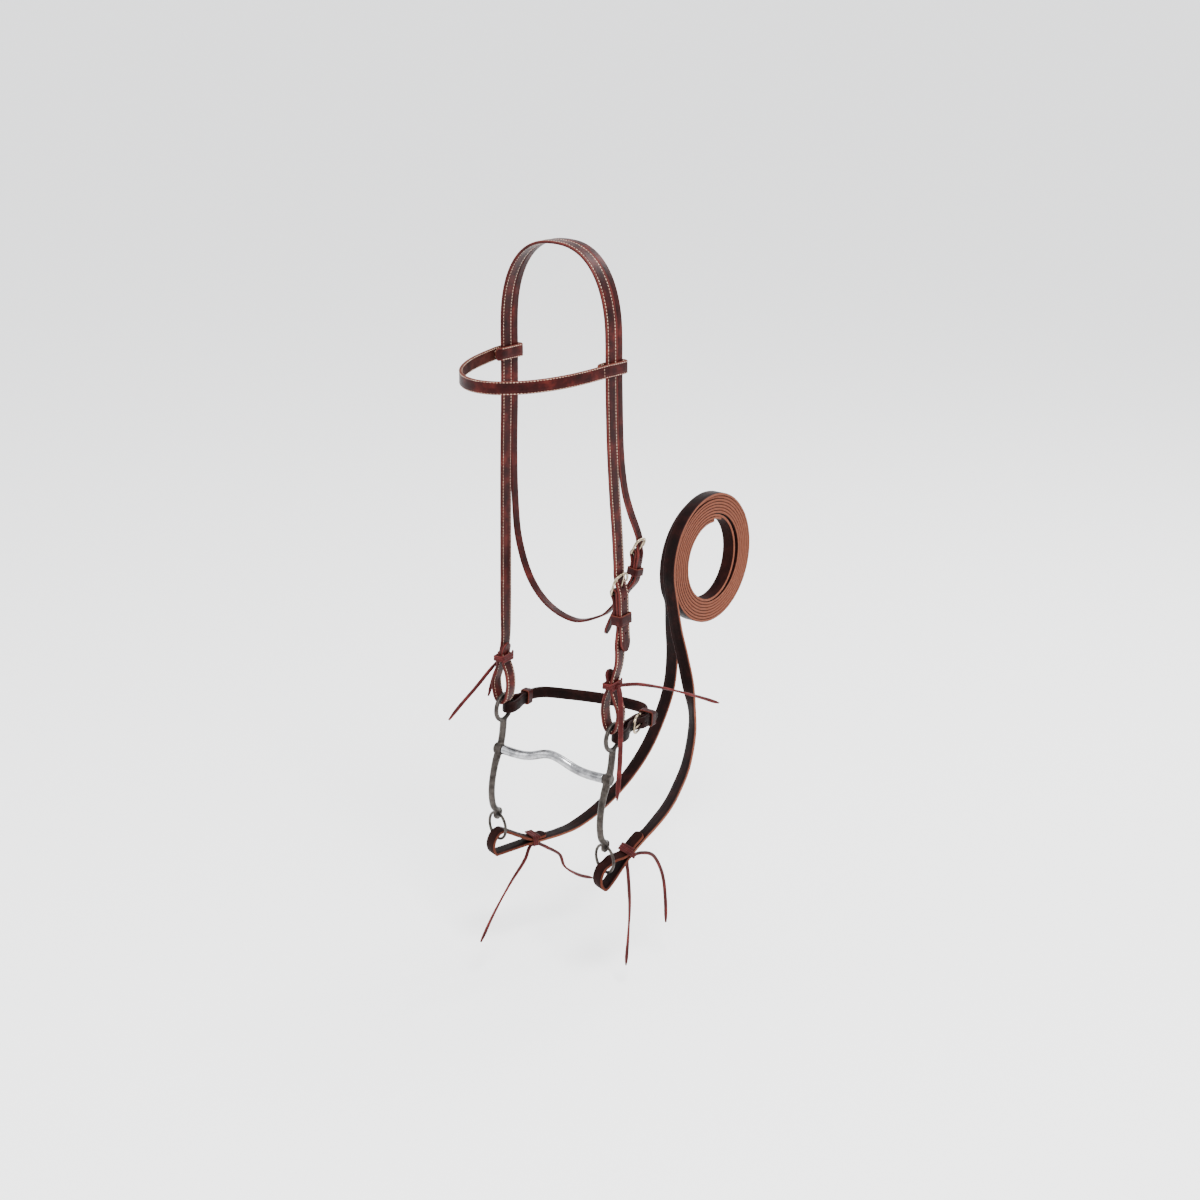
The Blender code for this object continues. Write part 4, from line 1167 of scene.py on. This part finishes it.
CROWN_POINTS = [
    *CHEEK_BUCKLE.line(
        (-0.0650, TAIL_OVER_FOLD + 0.0006), (-0.0430, TAIL_OVER_FOLD), (-0.0200, TAIL_OVER_FOLD),
        (-0.0010, TAIL_OVER_FOLD), (0.0100, 0.0042), (0.0200, 0.0024), (0.0320, 0.0026),
    ),
    (0.0695, 0.0100, -0.290), (0.0692, 0.0062, -0.250), (0.0690, 0.0025, -0.200),
    (0.0690, 0.0005, -0.150), (0.0690, 0.0000, -0.115),
    *arch(0.0, STRAP_THICK / 2),
    (-0.0690, 0.0000, -0.115), (-0.0690, -0.0010, -0.170), (-0.0690, -0.0031, -0.223),
    (-0.0690, -0.0050, -0.300), (-0.0690, -0.0068, -0.390), (-0.0692, -0.0080, -0.432),
]
RING_LOOP = [
    (0.0004, 0.001, 0.0580), (0.0050, 0, 0.0430), (0.0092, 0, 0.0300), (0.0078, 0, 0.0160),
    (0.0042, 0, 0.0086), (0, 0, 0.0066), (-0.0042, 0, 0.0086), (-0.0078, 0, 0.0160),
    (-0.0096, 0, 0.0300), (-0.0078, 0, 0.0430), (-0.0034, 0.001, 0.0565), (-0.0036, 0.001, 0.0640),
    (-0.0060, 0.001, 0.0750),
]


def ring_loop(side):
    """A cheek strap's way round the bit's upper ring: down outside, through, and up inside."""
    return [over_ring(side, *spot) for spot in RING_LOOP]


def crown():
    """The front strap: its tip is in the near buckle, and its far end loops round the bit's ring."""
    route = CROWN_POINTS + ring_loop(FAR)
    sides = [REARWARD] * (len(CROWN_POINTS) - 1) + [BIT_REAR] * (len(RING_LOOP) + 1)
    rows = rounded_tips(strap_rows(route, sides, 620), start=0.011, end=0.006)
    made = leather("crown_strap", rows, STRAP_WIDTH, STRAP_THICK)
    buckled = CHEEK_BUCKLE.at(0.0125, 0, 0.0040)
    holes = punches(rows, buckled, BILLET_HOLE_STEP, (-3, -2, -1, 1, 2), BILLET_HOLE)
    cut(made, holes + CHEEK_BUCKLE.pierce())
    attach(made, "headstall")
    stitched("crown_strap_stitches", "headstall", rows, STITCH_ROWS, 0.012, 0.010)


def near_cheek():
    """The near cheek strap: folded round the buckle's bar above and round the bit's ring below."""
    top = fold_points(CHEEK_BUCKLE, STRAP_THICK, 0.0370, 0.0370)
    route = top + [(0.0699, 0.0150, -0.412), (0.0700, 0.0135, -0.434)] + ring_loop(NEAR)
    sides = [REARWARD] * (len(top) + 1) + [BIT_REAR] * (len(RING_LOOP) + 1)
    rows = rounded_tips(strap_rows(route, sides, 300, flip=True), start=0.004, end=0.006)
    made = leather("near_cheek_strap", rows, STRAP_WIDTH, STRAP_THICK)
    cut(made, CHEEK_BUCKLE.slot())
    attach(made, "headstall")
    fold = nearest_reach(rows, CHEEK_BUCKLE.at(-0.0110, 0, FOLD_SPREAD))
    stitched("near_cheek_strap_stitches", "headstall", rows, STITCH_ROWS, fold, 0.010)


THROAT_POINTS = [
    (-0.0690, THROAT_Y, -0.115), (-0.0690, 0.0120, -0.172), (-0.0690, 0.0100, -0.226),
    (-0.0680, 0.0098, -0.280), (-0.0635, 0.0102, -0.324), (-0.0520, 0.0152, -0.366),
    (-0.0300, 0.0205, -0.3935), (0.0000, 0.0277, -0.4057), (0.0300, 0.0325, -0.3960),
    (0.0440, 0.0350, -0.3840), (0.0580, 0.0368, -0.3650),
]
BILLET_POINTS = [
    (0.0515, 0.0140, -0.4060), (0.0560, 0.0225, -0.3860), (0.0632, 0.0320, -0.3650),
    *THROAT_BUCKLE.line(
        (-0.0290, THROAT_OVER + 0.0004), (-0.0150, THROAT_OVER), (-0.0010, THROAT_OVER),
        (0.0080, 0.0036), (0.0165, 0.0016),
    ),
    (0.0722, 0.0385, -0.2920), (0.0708, 0.0300, -0.2720), (0.0697, 0.0215, -0.2450),
    (0.0691, 0.0160, -0.2050), (0.0690, 0.0138, -0.1500), (0.0690, THROAT_Y, -0.1150),
]


def throatlatch():
    """The rear strap: its billet is in the throat buckle, and its long end goes under the throat."""
    over = arch(THROAT_Y, THROAT_THICK / 2 + THROAT_LIFT)
    rise = fold_points(THROAT_BUCKLE, THROAT_THICK, 0.0240, 0.0260)[::-1]
    rows = strap_rows(BILLET_POINTS + over + THROAT_POINTS + rise, [REARWARD], 680)
    rounded_tips(rows, start=0.007, end=0.003)
    made = leather("throatlatch_strap", rows, THROAT_WIDTH, THROAT_THICK, THROAT_GROOVE)
    buckled = THROAT_BUCKLE.at(0.0095, 0, 0.0030)
    holes = punches(rows, buckled, THROAT_HOLE_STEP, (-3, -2, -1, 1, 2), SMALL_HOLE)
    cut(made, holes + THROAT_BUCKLE.pierce() + THROAT_BUCKLE.slot())
    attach(made, "headstall")


def brow_loop(side):
    """The browband's end loop round the two straps of one side."""
    spots = (
        (0.0678, BROW_JOIN_Y - 0.0065), (BROW_IN_X + 0.0004, BROW_JOIN_Y + 0.0010),
        (BROW_IN_X, 0.004), (BROW_IN_X, BROW_REAR - 0.0010), (BROW_IN_X + 0.0014, BROW_REAR + 0.0024),
        (CHEEK_X, BROW_REAR + 0.0036), (BROW_OUT_X - 0.0014, BROW_REAR + 0.0024),
        (BROW_OUT_X, BROW_REAR - 0.0010), (BROW_OUT_X, 0.004),
        (BROW_OUT_X - 0.0009, BROW_JOIN_Y + 0.0010),
    )
    return [(side * x, y, BROW_Z) for x, y in spots]


def browband():
    """The browband across the forehead, with a sewn loop at each end."""
    front = []
    for turn in half_turn(14)[1:-1]:
        y = BROW_JOIN_Y - BROW_DEPTH * math.sin(turn)
        front.append((BROW_HALF * math.cos(turn), y, BROW_Z - BROW_DROP * math.sin(turn)))
    route = brow_loop(NEAR) + front + brow_loop(FAR)[::-1]
    rows = rounded_tips(strap_rows(route, [UPWARD], 380), start=0.003, end=0.003)
    made = leather("browband", rows, BROW_WIDTH, STRAP_THICK)
    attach(made, "browband")
    stitched("browband_stitches", "browband", rows, STITCH_ROWS, 0.006, 0.006)
    for side in (NEAR, FAR):
        bend = [
            row for row in rows
            if abs(row.centre.x - side * SEAM_X) < 0.0040 and abs(row.centre.y - SEAM_Y) < 0.0100
        ]
        across = crosswise(bend, STRAP_WIDTH * 0.30)
        stitched(f"browband_seam_{SIDE_NAMES[side]}", "browband", across, (0.0,), 0.0, 0.0, SEAM_PITCH)


def crosswise(rows, half):
    """Rows that run across a strap at the middle of `rows`, for a seam from edge to edge."""
    row = rows[len(rows) // 2]
    ahead = (rows[-1].centre - rows[0].centre).normalized()
    return [
        Row(row.at(-half), ahead, row.normal, 0.0),
        Row(row.at(half), ahead, row.normal, 2 * half),
    ]


crown()
near_cheek()
throatlatch()
browband()
for buckle in (CHEEK_BUCKLE, THROAT_BUCKLE, CURB_BUCKLE):
    buckle.frame()
    buckle.tongue()


# ---------------------------------------------------------------- bit


def crossbar(middle, half, radius, sides):
    """A cylinder that lies across the bit."""
    return rod(middle - BIT_OUT * half, middle + BIT_OUT * half, radius, sides)


def shank(side):
    """A forged shank: the upper ring, the swept lower arm and the drilled end for the rein ring."""
    name = "bit_shank_" + SIDE_NAMES[side]
    out = BIT_HALF * side
    circle = [
        on_bit(out, RING_RADIUS * math.sin(turn), RING_RADIUS * math.cos(turn)) for turn in angles(64)
    ]
    ring = round_wire("ring", circle, RING_WIRE, DARK_STEEL, closed=True, sides=20)
    control = [
        (0.0002, -RING_RADIUS + 0.0002), (-0.0005, -0.0230), (-0.0020, -0.0340),
        (MOUTH_Y + 0.0020, MOUTH_Z + 0.0030), (MOUTH_Y - 0.0030, MOUTH_Z - 0.0060),
        (-0.0150, -0.0640), (-0.0195, -0.0820), (-0.0200, -0.0980), (-0.0165, -0.1120),
        (SHANK_END_Y - 0.0010, SHANK_END_Z + 0.0030),
    ]
    control = [on_bit(out, y, z) for y, z in control]
    spots = [spline_point(control, place) for place in even_places(control, 90)]
    arm = round_wire(
        "arm", spots, SHANK_RADIUS, DARK_STEEL, sides=20,
        taper=lambda part: 0.93 + 0.10 * math.exp(-(((part - 0.34) / 0.10) ** 2)) - 0.08 * part,
    )
    end = on_bit(out, SHANK_END_Y, SHANK_END_Z)
    boss = crossbar(end, BOSS_THICK / 2, BOSS_RADIUS, 40)
    knuckle = crossbar(on_bit(out, MOUTH_Y, MOUTH_Z), KNUCKLE_HALF, MOUTH_RADIUS + 0.0008, 32)
    made = fused(name + "_forging", [ring, arm, boss, knuckle], SHANK_VOXEL, DARK_STEEL, 7)
    cut(made, [crossbar(end, 2 * BOSS_THICK, BOSS_HOLE, 32)])
    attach(made, "bit")
    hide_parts(name)


def mouthpiece():
    """The bar of the mouthpiece with its low port, a little thicker towards its ends."""
    end = BIT_HALF - KNUCKLE_HALF - 2 * GAP
    spots = []
    steps = 96
    for step in range(steps + 1):
        x = end * (2 * step / steps - 1)
        rise = PORT_RISE * math.exp(-((x / PORT_HALF) ** 2))
        bow = -0.0020 * (1 - (x / end) ** 2)
        spots.append(on_bit(x, MOUTH_Y - 0.3 * rise, MOUTH_Z + bow + rise))
    made = round_wire(
        "bit_mouthpiece_bar", spots, MOUTH_RADIUS, STAINLESS, sides=32,
        taper=lambda part: 0.93 + 0.09 * abs(2 * part - 1) ** 2,
    )
    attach(made, "bit")
    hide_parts("bit_mouthpiece")


def rein_ring(side):
    """The loose ring through a shank's drilled end, with the slight swell of its weld."""
    name = "rein_ring_" + SIDE_NAMES[side]
    place = Matrix.Translation((BIT_HALF * side, SHANK_END_Y, REIN_RING_Z))
    flat = Matrix.Rotation(REIN_RING_TURN, 4, "Z") @ Matrix.Rotation(math.pi / 2, 4, "X")
    spots = []
    for turn in angles(96):
        around = Vector((REIN_RING_RADIUS * math.cos(turn), REIN_RING_RADIUS * math.sin(turn), 0))
        spots.append(BIT_FRAME @ place @ flat @ around)
    made = round_wire(
        name + "_wire", spots, REIN_RING_WIRE, DARK_STEEL, closed=True, sides=18,
        taper=lambda part: 1.0 + 0.10 * math.exp(-(((part - 0.62) / 0.012) ** 2)),
    )
    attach(made, "bit")
    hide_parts(name)


# A rein's doubled end, from the loose tab round the ring to the rein itself, in its own plane
LOOP_TAB = {
    NEAR: ((0.0471, 0.0185), (0.0358, 0.0099), (0.0246, -0.0005), (0.0090, -0.0026)),
    FAR: ((0.0609, -0.0248), (0.0508, -0.0252), (0.0381, -0.0243), (0.0090, -0.0085)),
}
LOOP_BEND = (
    (0.0022, -0.0067), (-0.0049, -0.0109), (-0.0092, -0.0216), (-0.0064, -0.0312), (0.0012, -0.0318)
)
LOOP_MAIN = {NEAR: (0.0240, -0.0072), FAR: (0.0381, -0.0292)}


def rein_loop(side):
    """A rein's doubled end on its ring, from the loose tab to the tie."""
    name = SIDE_NAMES[side] + "_rein_loop"
    route = [in_loop(side, *spot) for spot in (*LOOP_TAB[side], *LOOP_BEND, LOOP_MAIN[side])]
    rows = strap_rows(route + rein_points(side)[:1], [LOOP_ACROSS], 150)
    rounded_tips(rows, start=0.004)
    profile = strap_profile(STRAP_WIDTH, REIN_THICK, REIN_GROOVE)
    made = sweep(name + "_leather", rows, profile, DARK_LATIGO)
    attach(made, "bit")
    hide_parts(name)


for each_side in (NEAR, FAR):
    shank(each_side)
    rein_ring(each_side)
    rein_loop(each_side)
mouthpiece()


# ---------------------------------------------------------------- curb strap

CURB_ROUTE = [
    (-0.0686, 0.0520, 0.0005), (-0.0686, 0.0400, 0.0003), (-0.0700, 0.0300, 0.0000),
    (-0.0768, 0.0190, -0.0010), (-0.0757, 0.0085, -0.0018), (-0.0700, 0.0040, -0.0020),
    (-0.0643, 0.0085, -0.0018), (-0.0634, 0.0190, -0.0010), (-0.0650, 0.0300, 0.0000),
    (-0.0650, 0.0400, 0.0003), (-0.0640, 0.0500, 0.0010), (-0.0540, 0.0590, 0.0020),
    (-0.0300, 0.0640, 0.0040), (0.0050, 0.0740, 0.0046), (0.0350, 0.0820, 0.0034),
    (0.0560, 0.0850, 0.0014), (0.0662, 0.0760, 0.0008), (0.0676, 0.0680, 0.0005),
    (0.0662, 0.0600, 0.0005), (0.0649, 0.0520, 0.0004), (0.0650, 0.0400, 0.0002),
    (0.0642, 0.0290, 0.0000), (0.0634, 0.0180, -0.0008), (0.0644, 0.0085, -0.0018),
    (0.0700, 0.0040, -0.0020), (0.0757, 0.0085, -0.0018), (0.0765, 0.0190, -0.0010),
    (0.0722, 0.0290, 0.0000), (0.0702, 0.0370, 0.0003), (0.0728, 0.0450, 0.0005),
    (0.0768, 0.0530, 0.0005), (0.0768, 0.0640, 0.0005), (0.0768, 0.0800, 0.0005),
]


def curb():
    """The curb strap and the chape that holds its buckle; its ends go round the upper rings."""
    rows = strap_rows([on_bit(*spot) for spot in CURB_ROUTE], [BIT_UP], 400)
    rounded_tips(rows, start=0.004, end=0.009)
    made = leather("curb_strap", rows, CURB_WIDTH, STRAP_THICK, REIN_GROOVE, DARK_LATIGO)
    buckled = CURB_BUCKLE.at(0.0110, 0, 0.0015)
    holes = punches(rows, buckled, CURB_HOLE_STEP, (-1, 1, 2, 3), SMALL_HOLE)
    cut(made, holes + CURB_BUCKLE.pierce())
    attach(made, "curb")
    fold = fold_points(CURB_BUCKLE, CHAPE_THICK, 0.0190, 0.0190)
    rows = rounded_tips(strap_rows(fold, [BIT_UP], 90), start=0.002, end=0.002)
    made = leather("curb_buckle_chape", rows, CURB_WIDTH * 0.8, CHAPE_THICK, CHAPE_GROOVE, DARK_LATIGO)
    cut(made, CURB_BUCKLE.slot())
    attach(made, "curb")


curb()


# ---------------------------------------------------------------- keepers and ties


def band_outline(hole, grow, corner):
    """A rounded rectangle round a hole: points with their outward directions, evenly spaced."""
    half_across, half_out = hole[0] / 2 + grow - corner, hole[1] / 2 + grow - corner
    spots = []
    centres = [(1, 1), (-1, 1), (-1, -1), (1, -1)]
    for quarter, (right, up) in enumerate(centres):
        for step in range(7):
            turn = math.radians(90 * quarter + 15 * step)
            way = (math.cos(turn), math.sin(turn))
            spots.append((right * half_across + corner * way[0], up * half_out + corner * way[1], way))
        right, up = centres[(quarter + 1) % 4]
        x, y, way = spots[-1]
        run_x = right * half_across + corner * way[0] - x
        run_y = up * half_out + corner * way[1] - y
        for part in (0.2, 0.4, 0.6, 0.8):
            spots.append((x + run_x * part, y + run_y * part, way))
    return spots


def band_rows(centre, across, outward, outline, turns, pitch):
    """Rows round a band's outline, `turns` times, that step `pitch` along it each turn."""
    across, outward, along = over_plane(outward, across)
    count = len(outline)
    total = int(count * turns)
    rows = []
    reach = 0.0
    for step in range(total):
        x, y, way = outline[step % count]
        shift = pitch * (step / count - turns / 2)
        spot = centre + across * x + outward * y + along * shift
        if rows:
            reach += (spot - rows[-1].centre).length
        rows.append(Row(spot, along, across * way[0] + outward * way[1], reach))
    return rows


def keeper(name, centre, across, outward, hole, wall, length):
    """A leather loop round the plies, creased along both rims."""
    outline = band_outline(hole, wall / 2, 0.0018)
    rows = band_rows(centre, across, outward, outline, 1.0, 0.0)
    profile = strap_profile(length, wall * 0.96, KEEPER_GROOVE)
    made = sweep(name + "_leather", rows, profile, LATIGO, closed=True)
    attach(made, name)
    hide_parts(name)


def tie(name):
    """A lace wound twice and a bit round two plies of strap, and the knot that holds it."""
    centre, across, outward, hole, body, way = TIES[name]
    outline = band_outline(hole, TIE_WALL * 0.42, 0.0020)
    rows = band_rows(centre, across, outward, outline, TIE_TURNS, TIE_PITCH)
    made = sweep(name + "_turns", rows, strip_profile(*TIE_STRIP), [LACE], waver=0.00005)
    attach(made, body)
    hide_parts(name)
    side, out, along = over_plane(outward, across)
    middle = knot_centre(name)
    spots = []
    for turn in angles(72):
        spots.append(
            middle
            + side * (KNOT_ACROSS * (math.sin(turn) + 2 * math.sin(2 * turn)))
            + along * (KNOT_ALONG * (math.cos(turn) - 2 * math.cos(2 * turn)))
            - out * (way * KNOT_OUT * math.sin(3 * turn))
        )
    knot = round_wire(name + "_knot", spots, KNOT_WIRE, LACE, closed=True, sides=12)
    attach(knot, body)


keeper(
    "cheek_keeper", CHEEK_BUCKLE.at(-0.0290, 0, 0.0034), CHEEK_BUCKLE.v, CHEEK_BUCKLE.w,
    (STRAP_WIDTH + 0.0010, 0.0114), 0.0018, 0.0110,
)
keeper(
    "throatlatch_keeper", THROAT_BUCKLE.at(-0.0190, 0, 0.0036), THROAT_BUCKLE.v, THROAT_BUCKLE.w,
    (THROAT_WIDTH + 0.0012, 0.0108), 0.0016, 0.0080,
)
keeper(
    "curb_keeper_near", on_bit(0.0720, 0.0680, 0.0005), BIT_UP, BIT_OUT,
    (CURB_WIDTH + 0.0010, 0.0142), 0.0016, 0.0080,
)
keeper(
    "curb_keeper_far", on_bit(-0.0668, 0.0400, 0.0003), BIT_UP, BIT_OUT,
    (CURB_WIDTH + 0.0010, 0.0082), 0.0016, 0.0080,
)
for tie_name in TIES:
    tie(tie_name)
